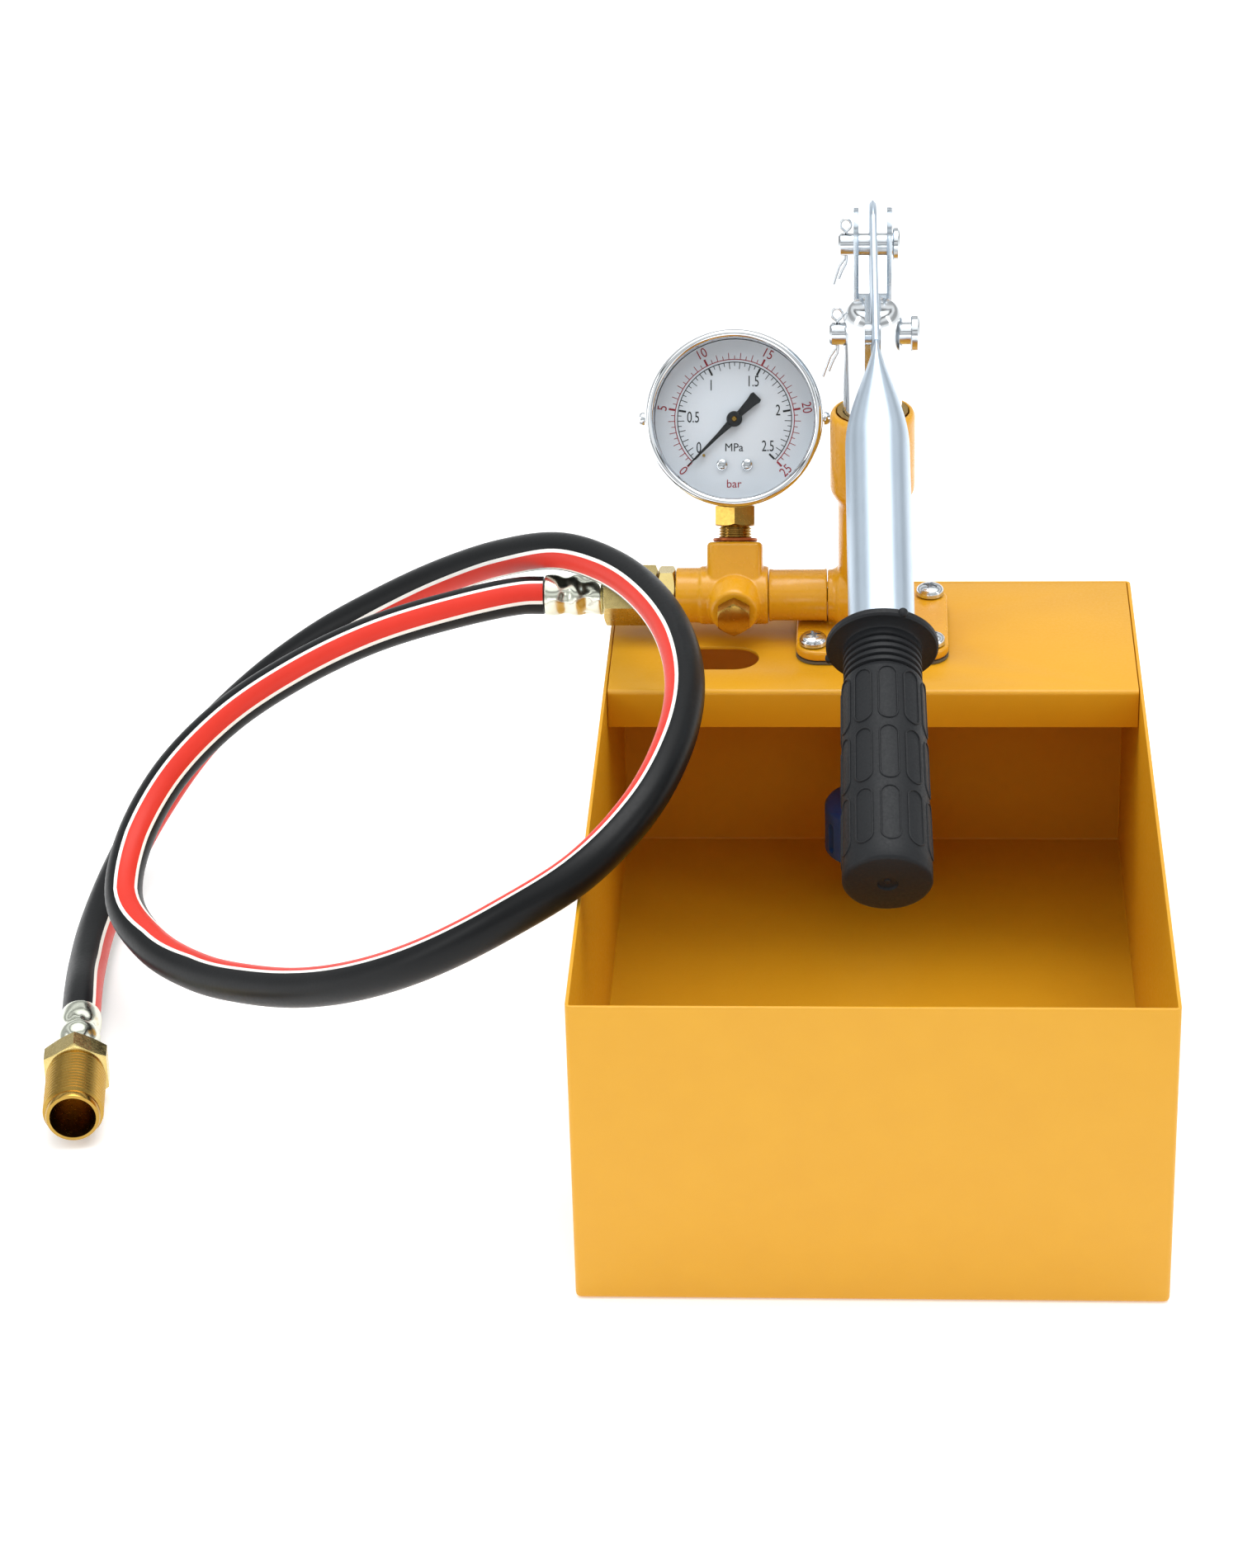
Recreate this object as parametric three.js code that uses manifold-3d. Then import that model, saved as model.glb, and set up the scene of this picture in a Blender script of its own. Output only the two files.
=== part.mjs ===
// Hydraulic hand pump for pressure tests: a water tank, a lever pump on its cover, a gauge and a hose.
// Millimetres. +X right, +Y to the rear, +Z up. The origin is the middle of the tank's underside.
import * as THREE from 'three';
import { mergeVertices } from 'three/addons/utils/BufferGeometryUtils.js';
import Module from 'manifold-3d';

const wasm = await Module();
wasm.setup();

// ---- driving dimensions ----
const GAP = 0.3; // clearance between pieces that touch
const TANK = { width: 190, length: 302, height: 110, sheet: 1.2 };
const COVER = { frontY: 62, flangeDrop: 14.4, sheet: 1.2, spigotHole: 11.5, screwHole: 3 };
const FILL_SLOT = { x: -55.5, y: 88, length: 30, width: 18 };
const PUMP_Y = 109; // plunger axis, behind the middle of the tank
const FOOT = { width: 54.5, depth: 54, corner: 8, bottom: 1.4, top: 5.1, screwX: 21, screwY: 20 };
const COLUMN = { radius: 12.15, collarRadius: 15, collarBottom: 52, top: 87.5, bore: 10.6 };
const PACKING = { radius: 12.6, bottom: 62.3, split: 69.7, top: 87.2 };
const BALL_VALVE = { seatRadius: 2.8, chamberRadius: 4.6, chamberTop: 10, ballRadius: 4, spigotEnd: -15 };
const OUTLET_H = 14.8; // outlet axis above the cover
const PIPE = { radius: 9.3, bore: 4.8, bossEnd: 16, end: 37.1 };
const TEE = { x: 49.4, halfLength: 12, radius: 10.5, end: 70.6 };
const TEE_BLOCK = { width: 20, depth: 18, top: 19 };
const GAUGE = { lean: 27, centre: 62.8, caseRadius: 30, bezelRadius: 31.75, dialRadius: 28.6 };
const ZERO_ANGLE = 225; // where the dial's zero lies, counted from the reader's right
const VALVE = { shankRadius: 4, headAcrossFlats: 11.3, headLength: 5.8 };
const VALVE_BOSS = { rootRadius: 10.2, radius: 8.4, end: 14.8 };
const UNION = { nippleEnd: 77, nutEnd: 96.6, ferruleEnd: 118.3, acrossFlats: 19, ferruleRadius: 7.6 };
const PLUNGER = { radius: 10.3, bottom: 22.6, top: 127, slot: 5.4, slotBottom: 89, pinH: 116 };
const HANDLE = { slope: 24.2, pinGap: 43.4, tubeRadius: 11, bore: 9, plate: 2.4, plateWidth: 34, end: 277 };
const FLATTENED = { rear: 2, front: 61, roundFrom: 97 };
const HANDLE_YAW = 1.1; // the blade sits this far askew on its pins
const GRIP = { start: 182.4, end: 280.4, bore: 11.3, flange: 18.5, startRadius: 13.7, endRadius: 14.4 };
const LINK = { pivotH: 62, halfWidth: 6.8, sheet: 1.8, front: -7.6, rear: 10.4, webTop: 49, crown: 12.8 };
const PIN = { radius: 4, hole: 4.3, wireRadius: 0.9 };
const LIFT_SLOT = { from: 39.8, to: 44, radius: 4.65 };
const HOSE_RADIUS = 6.85;
const END_FITTING = { x: -279.5, y: -0.6, z: 12.6, turn: 7, ferrule: 29, hex: 38.5, length: 66, bore: 7.75 };

// Middle line of the hose, from the pump's ferrule to the end fitting, in row coordinates.
const HOSE_ROUTE = [
  [-118.6, 109, 124.8], [-127, 109, 124.6], [-150, 109, 119.5], [-182, 109, 109], [-211, 107, 95],
  [-237, 101, 79], [-257, 88, 62], [-268, 65, 47], [-268, 38, 38], [-254, 10, 36], [-234, -15, 40],
  [-212, -38, 49], [-190, -58, 60], [-167, -75, 74], [-143, -87, 90], [-118, -90, 106],
  [-94, -82, 119], [-76, -60, 129.5], [-66, -31, 137], [-63, 1, 142], [-67, 32, 145],
  [-77, 62, 146], [-92, 89, 145], [-112, 112, 141], [-135, 132, 129], [-159, 147, 114],
  [-184, 158, 97], [-210, 164, 79], [-235, 162, 60], [-257, 151, 41], [-273, 129, 24],
  [-282, 101, 13], [-285.5, 69, 8], [-284.3, 40, 8.8], [-281.7, 17, 11.9], [-280.4, 6.9, 12.6],
  [-279.5, -0.6, 12.6],
];

// ---- finishes ----
const finish = (color, roughness, metalness) => (
  new THREE.MeshStandardMaterial({ color, roughness, metalness })
);
const YELLOW_PAINT = finish('#f5b335', 0.45, 0);
const ZINC = finish('#b9c4cf', 0.3, 0.9);
const BRIGHT_STEEL = finish('#c9ccd0', 0.2, 1);
const BRASS = finish('#b59a4c', 0.3, 1);
const COPPER = finish('#b4653a', 0.35, 1);
const CHROME = finish('#d5d7da', 0.12, 1);
const WHITE_ENAMEL = finish('#f2f2f0', 0.5, 0);
const BLACK_ENAMEL = finish('#141414', 0.4, 0);
const GLASS = finish('#e8f0f0', 0.05, 0);
GLASS.transparent = true;
GLASS.opacity = 0.3;
const BLACK_RUBBER = finish('#26282b', 0.6, 0);
const GRIP_RUBBER = finish('#3a3d42', 0.65, 0);
const GREY_FIBRE = finish('#4a4a48', 0.9, 0);
const BLUE_PLASTIC = finish('#2b5db0', 0.45, 0);

// ---- solids: joining, cutting and the basic shapes ----
const radians = THREE.MathUtils.degToRad;

function signedVolume(position, index) {
  const a = new THREE.Vector3();
  const b = new THREE.Vector3();
  const c = new THREE.Vector3();
  let sum = 0;
  for (let i = 0; i < index.length; i += 3) {
    a.fromBufferAttribute(position, index[i]);
    b.fromBufferAttribute(position, index[i + 1]);
    c.fromBufferAttribute(position, index[i + 2]);
    sum += a.dot(b.cross(c));
  }
  return sum;
}

// A closed three.js geometry as a solid: vertices merged, empty triangles dropped, faces outwards.
function solid(geometry) {
  const bare = geometry.clone();
  bare.deleteAttribute('normal');
  bare.deleteAttribute('uv');
  const merged = mergeVertices(bare, 1e-4);
  const source = merged.index.array;
  const corners = [];
  for (let i = 0; i < source.length; i += 3) {
    const [a, b, c] = source.slice(i, i + 3);
    if (a !== b && b !== c && c !== a) corners.push(a, b, c);
  }
  if (signedVolume(merged.attributes.position, corners) < 0) corners.reverse();
  return new wasm.Manifold(new wasm.Mesh({
    numProp: 3,
    vertProperties: new Float32Array(merged.attributes.position.array),
    triVerts: new Uint32Array(corners),
  }));
}

function geometryOf(body) {
  const mesh = body.getMesh();
  const geometry = new THREE.BufferGeometry();
  geometry.setAttribute('position', new THREE.BufferAttribute(new Float32Array(mesh.vertProperties), 3));
  geometry.setIndex(new THREE.BufferAttribute(new Uint32Array(mesh.triVerts), 1));
  return geometry;
}

const join = (...pieces) => geometryOf(pieces.map(solid).reduce((sum, piece) => sum.add(piece)));
const cut = (base, ...tools) => (
  geometryOf(tools.map(solid).reduce((rest, tool) => rest.subtract(tool), solid(base)))
);

// A profile of [radius, z] points turned round Z.
function turned(profile, sides = 18) {
  const points = profile.map(([radius, z]) => new THREE.Vector2(radius, z));
  return new THREE.LatheGeometry(points, sides).rotateX(Math.PI / 2);
}

const rod = (radius, low, high, sides = 18) => (
  turned([[0, low], [radius, low], [radius, high], [0, high]], sides)
);
const ring = (outer, inner, low, high, sides = 18) => (
  turned([[inner, low], [outer, low], [outer, high], [inner, high], [inner, low]], sides)
);
const hexagon = (acrossFlats, low, high) => rod(acrossFlats / Math.sqrt(3), low, high, 6);

function block(x0, x1, y0, y1, z0, z1) {
  const box = new THREE.BoxGeometry(x1 - x0, y1 - y0, z1 - z0);
  return box.translate((x0 + x1) / 2, (y0 + y1) / 2, (z0 + z1) / 2);
}

// A rounded rectangle or a stadium in XY, raised from low to high.
function roundedSlab(width, depth, corner, low, high, sides = 5) {
  const shape = new THREE.Shape();
  const x = width / 2 - corner;
  const y = depth / 2 - corner;
  shape.absarc(x, y, corner, 0, Math.PI / 2);
  shape.absarc(-x, y, corner, Math.PI / 2, Math.PI);
  shape.absarc(-x, -y, corner, Math.PI, Math.PI * 1.5);
  shape.absarc(x, -y, corner, Math.PI * 1.5, Math.PI * 2);
  const options = { depth: high - low, bevelEnabled: false, curveSegments: sides };
  return new THREE.ExtrudeGeometry(shape, options).translate(0, 0, low);
}

// A round bar with a regular section swept along points.
function swept(points, radius, sides, steps) {
  const corners = points.map((point) => new THREE.Vector3(...point));
  const path = new THREE.CatmullRomCurve3(corners, false, 'centripetal');
  const section = new THREE.Shape();
  for (let i = 0; i < sides; i += 1) {
    const angle = (i / sides) * Math.PI * 2;
    if (i === 0) section.moveTo(radius, 0);
    else section.lineTo(radius * Math.cos(angle), radius * Math.sin(angle));
  }
  return new THREE.ExtrudeGeometry(section, { steps, bevelEnabled: false, extrudePath: path });
}

// turned() and rod() stand along Z; this lays them along X.
const alongX = (geometry) => geometry.rotateY(Math.PI / 2);

// ---- the scene graph ----
const pump = new THREE.Group();

function part(parent, name, geometry, material) {
  const mesh = new THREE.Mesh(geometry, material);
  mesh.name = name;
  parent.add(mesh);
  return mesh;
}

function group(parent, x, y, z, turnX = 0, turnY = 0, turnZ = 0) {
  const made = new THREE.Group();
  made.position.set(x, y, z);
  made.rotation.set(radians(turnX), radians(turnY), radians(turnZ));
  parent.add(made);
  return made;
}

// ---- tank and cover ----
function tankBody() {
  const { width, length, height, sheet } = TANK;
  const outside = block(-width / 2, width / 2, -length / 2, length / 2, 0, height);
  const inX = width / 2 - sheet;
  const inY = length / 2 - sheet;
  return cut(outside, block(-inX, inX, -inY, inY, sheet, height + 1));
}

function tankCover() {
  const side = TANK.width / 2 - TANK.sheet - GAP;
  const rear = TANK.length / 2 - TANK.sheet - GAP;
  const top = TANK.height;
  const under = top - COVER.sheet;
  const plate = block(-side, side, COVER.frontY, rear, under, top);
  const flange = block(-side, side, COVER.frontY, COVER.frontY + COVER.sheet, top - COVER.flangeDrop, top);
  const slot = roundedSlab(FILL_SLOT.length, FILL_SLOT.width, FILL_SLOT.width / 2, under - 1, top + 1);
  slot.translate(FILL_SLOT.x, FILL_SLOT.y, 0);
  const holes = screwPlaces().map(([x, y]) => (
    rod(COVER.screwHole, under - 1, top + 1, 12).translate(x, PUMP_Y + y, 0)
  ));
  const spigot = rod(COVER.spigotHole, under - 1, top + 1).translate(0, PUMP_Y, 0);
  return cut(join(plate, flange), slot, spigot, ...holes);
}

function screwPlaces() {
  const places = [];
  for (const y of [-FOOT.screwY, FOOT.screwY]) {
    for (const x of [-FOOT.screwX, FOOT.screwX]) places.push([x, y]);
  }
  return places;
}

part(pump, 'tank_body', tankBody(), YELLOW_PAINT);
part(pump, 'tank_cover', tankCover(), YELLOW_PAINT);

// Heights in this group count from the cover's upper face, on the plunger's axis.
const column = group(pump, 0, PUMP_Y, TANK.height);

// ---- pump body, its foot and fasteners ----
function pumpBody() {
  const { radius, collarRadius, collarBottom, top, bore } = COLUMN;
  const { seatRadius, chamberRadius, chamberTop, spigotEnd } = BALL_VALVE;
  const outside = turned([
    [0, spigotEnd], [10, spigotEnd], [10, FOOT.bottom + 1], [radius, FOOT.bottom + 1],
    [radius, collarBottom], [collarRadius, collarBottom + 5], [collarRadius, top - 2.5],
    [collarRadius - 2.5, top], [0, top],
  ], 20);
  const foot = roundedSlab(FOOT.width, FOOT.depth, FOOT.corner, FOOT.bottom, FOOT.top);
  const boss = alongX(rod(PIPE.radius, -PIPE.bossEnd, -8)).translate(0, 0, OUTLET_H);
  const lugY = HANDLE.pinGap * Math.cos(radians(HANDLE.slope));
  const lugEnd = alongX(rod(7, -3, 3)).translate(0, lugY, LINK.pivotH);
  const lugArm = block(-3, 3, collarRadius - 2, lugY, LINK.pivotH - 7, LINK.pivotH + 7);
  const body = join(outside, foot, boss, lugArm, lugEnd);
  const cylinder = turned([
    [0, spigotEnd - 1], [seatRadius, spigotEnd - 1], [seatRadius, 0], [chamberRadius, 0],
    [chamberRadius, chamberTop], [3, chamberTop], [3, 11], [bore, 11],
    [bore, PACKING.bottom - GAP], [PACKING.radius + GAP, PACKING.bottom - GAP],
    [PACKING.radius + GAP, top + 1], [0, top + 1],
  ]);
  const port = alongX(rod(seatRadius, -PIPE.bossEnd - 1, 0, 12)).translate(0, 0, OUTLET_H);
  const lugHole = alongX(rod(PIN.hole, -4, 4, 16)).translate(0, lugY, LINK.pivotH);
  const holes = screwPlaces().map(([x, y]) => rod(2.8, 0, FOOT.top + 1, 12).translate(x, y, 0));
  return cut(body, cylinder, port, lugHole, ...holes);
}

function footGasket() {
  const low = GAP;
  const high = FOOT.bottom - GAP;
  const holes = screwPlaces().map(([x, y]) => rod(3, low - 1, high + 1, 12).translate(x, y, 0));
  const sheet = roundedSlab(FOOT.width, FOOT.depth, FOOT.corner, low, high);
  return cut(sheet, rod(COVER.spigotHole, low - 1, high + 1), ...holes);
}

const panHeadScrew = () => turned([
  [0, -9], [2.5, -9], [2.5, FOOT.top + GAP], [5, FOOT.top + GAP], [5, FOOT.top + 2], [3.6, FOOT.top + 3.6],
  [0, FOOT.top + 4],
], 12);

part(column, 'pump_body', pumpBody(), YELLOW_PAINT);
part(column, 'foot_gasket', footGasket(), GREY_FIBRE);
screwPlaces().forEach(([x, y], i) => {
  const place = group(column, x, y, 0);
  part(place, `foot_screw_${i + 1}`, panHeadScrew(), ZINC);
  const nut = cut(hexagon(8, -5.5, -1.5), rod(2.8, -6, 0, 12));
  part(place, `foot_nut_${i + 1}`, nut, ZINC);
});
part(column, 'packing_ring', ring(PACKING.radius, COLUMN.bore, PACKING.bottom, PACKING.split), BLACK_RUBBER);
part(column, 'guide_bush', ring(PACKING.radius, COLUMN.bore, PACKING.split + GAP, PACKING.top), BRASS);

// ---- suction side, under the cover ----
const seatGap = Math.sqrt(BALL_VALVE.ballRadius ** 2 - BALL_VALVE.seatRadius ** 2) + GAP;
const ballShape = () => new THREE.SphereGeometry(BALL_VALVE.ballRadius, 12, 8);
part(column, 'suction_ball', ballShape().translate(0, 0, seatGap), BRIGHT_STEEL);
part(column, 'suction_tube', ring(7, 4, -74, BALL_VALVE.spigotEnd - GAP), BRIGHT_STEEL);
part(column, 'strainer', turned([
  [7.4, -72], [15.5, -72], [15.5, -89], [17.5, -89], [17.5, -70], [7.4, -70], [7.4, -72],
]), BLUE_PLASTIC);

// ---- outlet, to the left: z in this group counts from the plunger's axis ----
const outlet = group(column, 0, 0, OUTLET_H, 0, -90);
part(outlet, 'outlet_pipe', ring(PIPE.radius, PIPE.bore, PIPE.bossEnd + GAP, PIPE.end), YELLOW_PAINT);
part(outlet, 'delivery_ball', ballShape().translate(0, 0, PIPE.bossEnd + seatGap), BRIGHT_STEEL);
part(outlet, 'delivery_stop', ring(PIPE.bore - GAP, 2.5, 28, 30, 12), BRASS);

const tee = group(column, -TEE.x, 0, OUTLET_H);

function teeBlock() {
  const barrel = alongX(rod(TEE.radius, -TEE.halfLength, TEE.halfLength));
  const stub = alongX(rod(PIPE.radius, TEE.x - TEE.end, 0));
  const half = TEE_BLOCK.width / 2;
  const depth = TEE_BLOCK.depth / 2;
  const leaning = block(-half, half, -depth, depth, 0, TEE_BLOCK.top).rotateX(radians(-GAUGE.lean));
  const { rootRadius, radius, end } = VALVE_BOSS;
  const bossOutline = [
    [0, 0], [rootRadius, 0], [rootRadius, 8], [radius, end - 1], [radius - 1, end], [0, end],
  ];
  const boss = turned(bossOutline, 32).rotateX(radians(90));
  const through = alongX(rod(5, TEE.x - TEE.end - 1, TEE.halfLength + 1, 16));
  const gaugePort = rod(5.2, 0, TEE_BLOCK.top + 1, 16).rotateX(radians(-GAUGE.lean));
  const valvePort = rod(VALVE.shankRadius + GAP, 0, end + 1, 16).rotateX(radians(90));
  return cut(join(barrel, stub, leaning, boss), through, gaugePort, valvePort);
}

part(tee, 'manifold_block', teeBlock(), YELLOW_PAINT);

const valve = group(tee, 0, 0, 0, 90);
part(valve, 'release_valve_screw', join(
  turned([[0, 5.5], [2, 5.5], [VALVE.shankRadius, 8], [VALVE.shankRadius, 16], [0, 16]], 16),
  hexagon(VALVE.headAcrossFlats, VALVE_BOSS.end + GAP, VALVE_BOSS.end + GAP + VALVE.headLength),
), BRASS);

// ---- gauge: z in this group runs up its leaning stem ----
const stemGroup = group(tee, 0, 0, 0, -GAUGE.lean);
part(stemGroup, 'gauge_washer', ring(8, 5.3, TEE_BLOCK.top + GAP, TEE_BLOCK.top + 1.5, 20), COPPER);
part(stemGroup, 'gauge_stem', join(
  turned([[0, 8], [4.9, 8], [4.9, 20.8], [6, 20.8], [6, 25], [0, 25]], 20),
  hexagon(14, 24.5, 32.4),
  rod(4.9, 32, 45, 20),
), BRASS);

// In this group x is right, y is up and z faces the reader.
const dialGroup = group(stemGroup, 0, 0, GAUGE.centre, 90);

function gaugeCase() {
  const { caseRadius } = GAUGE;
  const cup = turned([
    [0, -10], [caseRadius - 2, -10], [caseRadius, -8], [caseRadius, 14], [caseRadius - 1.2, 14],
    [caseRadius - 1.2, -8.8], [0, -8.8],
  ], 30);
  const stemHole = rod(5.4, -35, -20, 20).rotateX(-Math.PI / 2);
  const studs = alongX(rod(1.5, -35, 35, 10)).translate(0, 0, 11.5);
  return cut(cup, stemHole, studs);
}

function gaugeBezel() {
  const { bezelRadius, caseRadius } = GAUGE;
  const rim = turned([
    [caseRadius + GAP, 9], [bezelRadius, 9], [bezelRadius, 16], [bezelRadius - 1.4, 17.5],
    [28.4, 17.5], [28.4, 15.9], [caseRadius + GAP, 15.9], [caseRadius + GAP, 9],
  ], 30);
  return cut(rim, alongX(rod(1.5, -35, 35, 10)).translate(0, 0, 11.5));
}

function gaugeNeedle() {
  const pointer = new THREE.Shape();
  pointer.moveTo(-10, -0.9);
  pointer.lineTo(-6.5, -2.4);
  pointer.lineTo(-5, -0.8);
  pointer.lineTo(24.5, -0.25);
  pointer.lineTo(24.5, 0.25);
  pointer.lineTo(-5, 0.8);
  pointer.lineTo(-6.5, 2.4);
  pointer.lineTo(-10, 0.9);
  const flat = new THREE.ExtrudeGeometry(pointer, { depth: 0.8, bevelEnabled: false });
  flat.translate(0, 0, 10).rotateZ(radians(ZERO_ANGLE));
  return join(flat, rod(3, 9.6, 12, 16), rod(1.2, 2, 10, 10));
}

function bourdonTube() {
  const bend = 19;
  const points = [];
  for (let angle = 250; angle >= -20; angle -= 30) {
    points.push([bend * Math.cos(radians(angle)), bend * Math.sin(radians(angle)), -5]);
  }
  return swept(points, 2.6, 8, 12);
}

function polar(radius, angle) {
  return [radius * Math.cos(radians(angle)), radius * Math.sin(radians(angle))];
}

function gaugeDial() {
  const screws = [-4.5, 4.5].map((x) => rod(1.3, 7, 10, 10).translate(x, -16.3, 0));
  return cut(rod(GAUGE.dialRadius, 8, 8.6, 30), rod(1.6, 7, 10, 12), ...screws);
}

part(dialGroup, 'gauge_case', gaugeCase(), CHROME);
part(dialGroup, 'gauge_bezel', gaugeBezel(), CHROME);
part(dialGroup, 'gauge_glass', rod(GAUGE.caseRadius, 14.3, 15.6, 30), GLASS);
part(dialGroup, 'gauge_dial', gaugeDial(), WHITE_ENAMEL);
part(dialGroup, 'gauge_needle', gaugeNeedle(), BLACK_ENAMEL);
part(dialGroup, 'bourdon_tube', bourdonTube(), BRASS);
part(dialGroup, 'gauge_movement', cut(block(-9, 9, -9, 9, 0.5, 5), rod(1.6, 0, 6, 12)), BRASS);
const [stopX, stopY] = polar(17, ZERO_ANGLE + 5);
part(dialGroup, 'needle_stop', rod(0.5, 8.9, 11.5, 8).translate(stopX, stopY, 0), BRASS);
[-1, 1].forEach((side, i) => {
  const screw = turned([[0, 5.6], [0.9, 5.6], [0.9, 8.9], [2, 8.9], [1.6, 10.2], [0, 10.3]], 10);
  part(dialGroup, `dial_screw_${i + 1}`, screw.translate(side * 4.5, -16.3, 0), ZINC);
  const stud = turned([[0, 29.2], [1.2, 29.2], [1.2, 32.1], [2.4, 32.1], [2.4, 33.6], [0, 34.3]], 10);
  part(group(dialGroup, 0, 0, 11.5, 0, side * 90), `bezel_screw_${i + 1}`, stud, ZINC);
});

// ---- union at the outlet's end ----
part(outlet, 'outlet_nipple', cut(join(
  rod(4.7, TEE.end - 7, TEE.end + 1, 20),
  hexagon(UNION.acrossFlats, TEE.end + GAP, UNION.nippleEnd),
  rod(6.8, UNION.nippleEnd - 1, 89, 20),
), rod(3, 60, 92, 12)), BRASS);
part(outlet, 'union_nut', cut(
  hexagon(UNION.acrossFlats, UNION.nippleEnd + GAP, UNION.nutEnd),
  rod(7.2, UNION.nippleEnd - 1, 93.6, 20),
  rod(5.4, 93, 98, 20),
), ZINC);

// A crimped ferrule from z = 0 to length, with two rows of crimps.
function crimpedFerrule(length, radius, bore) {
  const waist = radius - 1.1;
  return [
    [bore, 0], [radius, 0], [radius, length * 0.3], [waist, length * 0.36], [waist, length * 0.44],
    [radius, length * 0.5], [radius, length * 0.62], [waist, length * 0.7], [waist, length * 0.8],
    [radius - 0.4, length * 0.86], [radius - 0.4, length], [bore, length], [bore, 0],
  ];
}

const ferruleLength = UNION.ferruleEnd - UNION.nutEnd - GAP;
const pumpFerrule = crimpedFerrule(ferruleLength, UNION.ferruleRadius, 3)
  .map(([radius, z]) => [radius, UNION.ferruleEnd - z]);
part(outlet, 'hose_ferrule', join(turned(pumpFerrule, 14), ring(4.9, 3, 90, UNION.nutEnd + 1, 14)), ZINC);

// ---- hose and its far end ----
part(pump, 'hose', swept(HOSE_ROUTE, HOSE_RADIUS, 8, 52), BLACK_RUBBER);

const hoseRest = group(pump, END_FITTING.x, END_FITTING.y, END_FITTING.z, 0, 0, END_FITTING.turn);
const hoseEnd = group(hoseRest, 0, 0, 0, 90);

function endFitting() {
  const { ferrule, hex, length, bore } = END_FITTING;
  const nut = hexagon(21.6, ferrule + GAP, hex);
  const thread = turned([
    [0, hex - 1], [9.6, hex - 1], [10.4, hex + 2], [10.4, length - 1.2], [9.4, length], [0, length],
  ]);
  return cut(join(nut, thread), rod(bore, ferrule + 6, length + 1), rod(3, ferrule - 1, ferrule + 7, 12));
}

const farFerrule = crimpedFerrule(END_FITTING.ferrule - GAP, UNION.ferruleRadius, 3)
  .map(([radius, z]) => [radius, z + GAP]);
part(hoseEnd, 'end_ferrule', turned(farFerrule, 14), ZINC);
part(hoseEnd, 'end_fitting', endFitting(), BRASS);

// ---- plunger ----
function plungerRod() {
  const { radius, bottom, top, slot, slotBottom, pinH } = PLUNGER;
  const bar = turned([
    [0, bottom], [radius, bottom], [radius, top - 4.5], [radius - 2.7, top], [0, top],
  ], 20);
  const mouth = block(-slot / 2, slot / 2, -radius - 1, radius + 1, slotBottom, top + 1);
  return cut(bar, mouth, alongX(rod(PIN.hole, -radius - 1, radius + 1, 16)).translate(0, 0, pinH));
}

part(column, 'plunger', plungerRod(), BRIGHT_STEEL);
part(column, 'plunger_seal', rod(PLUNGER.radius, PLUNGER.bottom - 3.3, PLUNGER.bottom - GAP), BLACK_RUBBER);

// A clevis pin along X with its head on the right and a cross hole for the split pin on the left.
function clevisPin(left, right, headRadius, headLength, sides = 16) {
  const pin = turned([
    [0, left], [PIN.radius - 0.8, left], [PIN.radius, left + 0.8], [PIN.radius, right],
    [headRadius, right], [headRadius, right + headLength], [0, right + headLength],
  ], sides);
  const crossHole = rod(PIN.wireRadius + GAP, -6, 6, 8).translate(left + 2.6, 0, 0);
  return cut(alongX(pin), crossHole);
}

// A split pin that drops through the cross hole, with its leg bent out to the left.
function splitPin(left, reach) {
  const x = left + 2.6;
  const leg = [
    [x, 0, 6.5], [x, 0, 2], [x, 0, -2.5], [x, 0, -5.5], [x - 2, 0, -8], [x - reach * 0.6, 0, -8 - reach],
  ];
  return swept(leg, PIN.wireRadius, 8, 12);
}

const plungerPinPlace = group(column, 0, 0, PLUNGER.pinH);
part(plungerPinPlace, 'plunger_pin', clevisPin(-15, 13.3, 6.2, 3), ZINC);
part(plungerPinPlace, 'plunger_split_pin', splitPin(-15, 8), ZINC);

// ---- link: a channel standing on the body's rear lug ----
const fulcrumY = HANDLE.pinGap * Math.cos(radians(HANDLE.slope));
const fulcrumH = PLUNGER.pinH + HANDLE.pinGap * Math.sin(radians(HANDLE.slope));
const linkLength = fulcrumH - LINK.pivotH;
const linkGroup = group(column, 0, fulcrumY, LINK.pivotH);

// One cheek's outline in (y, z), rounded over at both ends, as a slab from x0 to x1.
function cheek(x0, x1) {
  const { front, rear, crown } = LINK;
  const middle = (front + rear) / 2;
  const round = (rear - front) / 2;
  const outline = new THREE.Shape();
  outline.absarc(middle, linkLength + crown - round, round, 0, Math.PI);
  outline.absarc(middle, 0, round, Math.PI, Math.PI * 2);
  const slab = new THREE.ExtrudeGeometry(outline, { depth: x1 - x0, bevelEnabled: false, curveSegments: 8 });
  const toYZ = new THREE.Matrix4().set(0, 0, 1, x0, 1, 0, 0, 0, 0, 1, 0, 0, 0, 0, 0, 1);
  return slab.applyMatrix4(toYZ);
}

function channelLink() {
  const { halfWidth, sheet, rear, webTop } = LINK;
  const left = cheek(-halfWidth, sheet - halfWidth);
  const right = cheek(halfWidth - sheet, halfWidth);
  const web = block(-halfWidth, halfWidth, rear - sheet, rear, 0, webTop);
  const holes = [0, linkLength].map((z) => alongX(rod(PIN.hole, -9, 9, 16)).translate(0, 0, z));
  return cut(join(left, right, web), ...holes);
}

part(linkGroup, 'link', channelLink(), ZINC);
part(linkGroup, 'link_pin', clevisPin(-12.2, LINK.halfWidth + GAP, 5.8, 2.5), ZINC);
part(linkGroup, 'link_split_pin', splitPin(-12.2, 6), ZINC);

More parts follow.
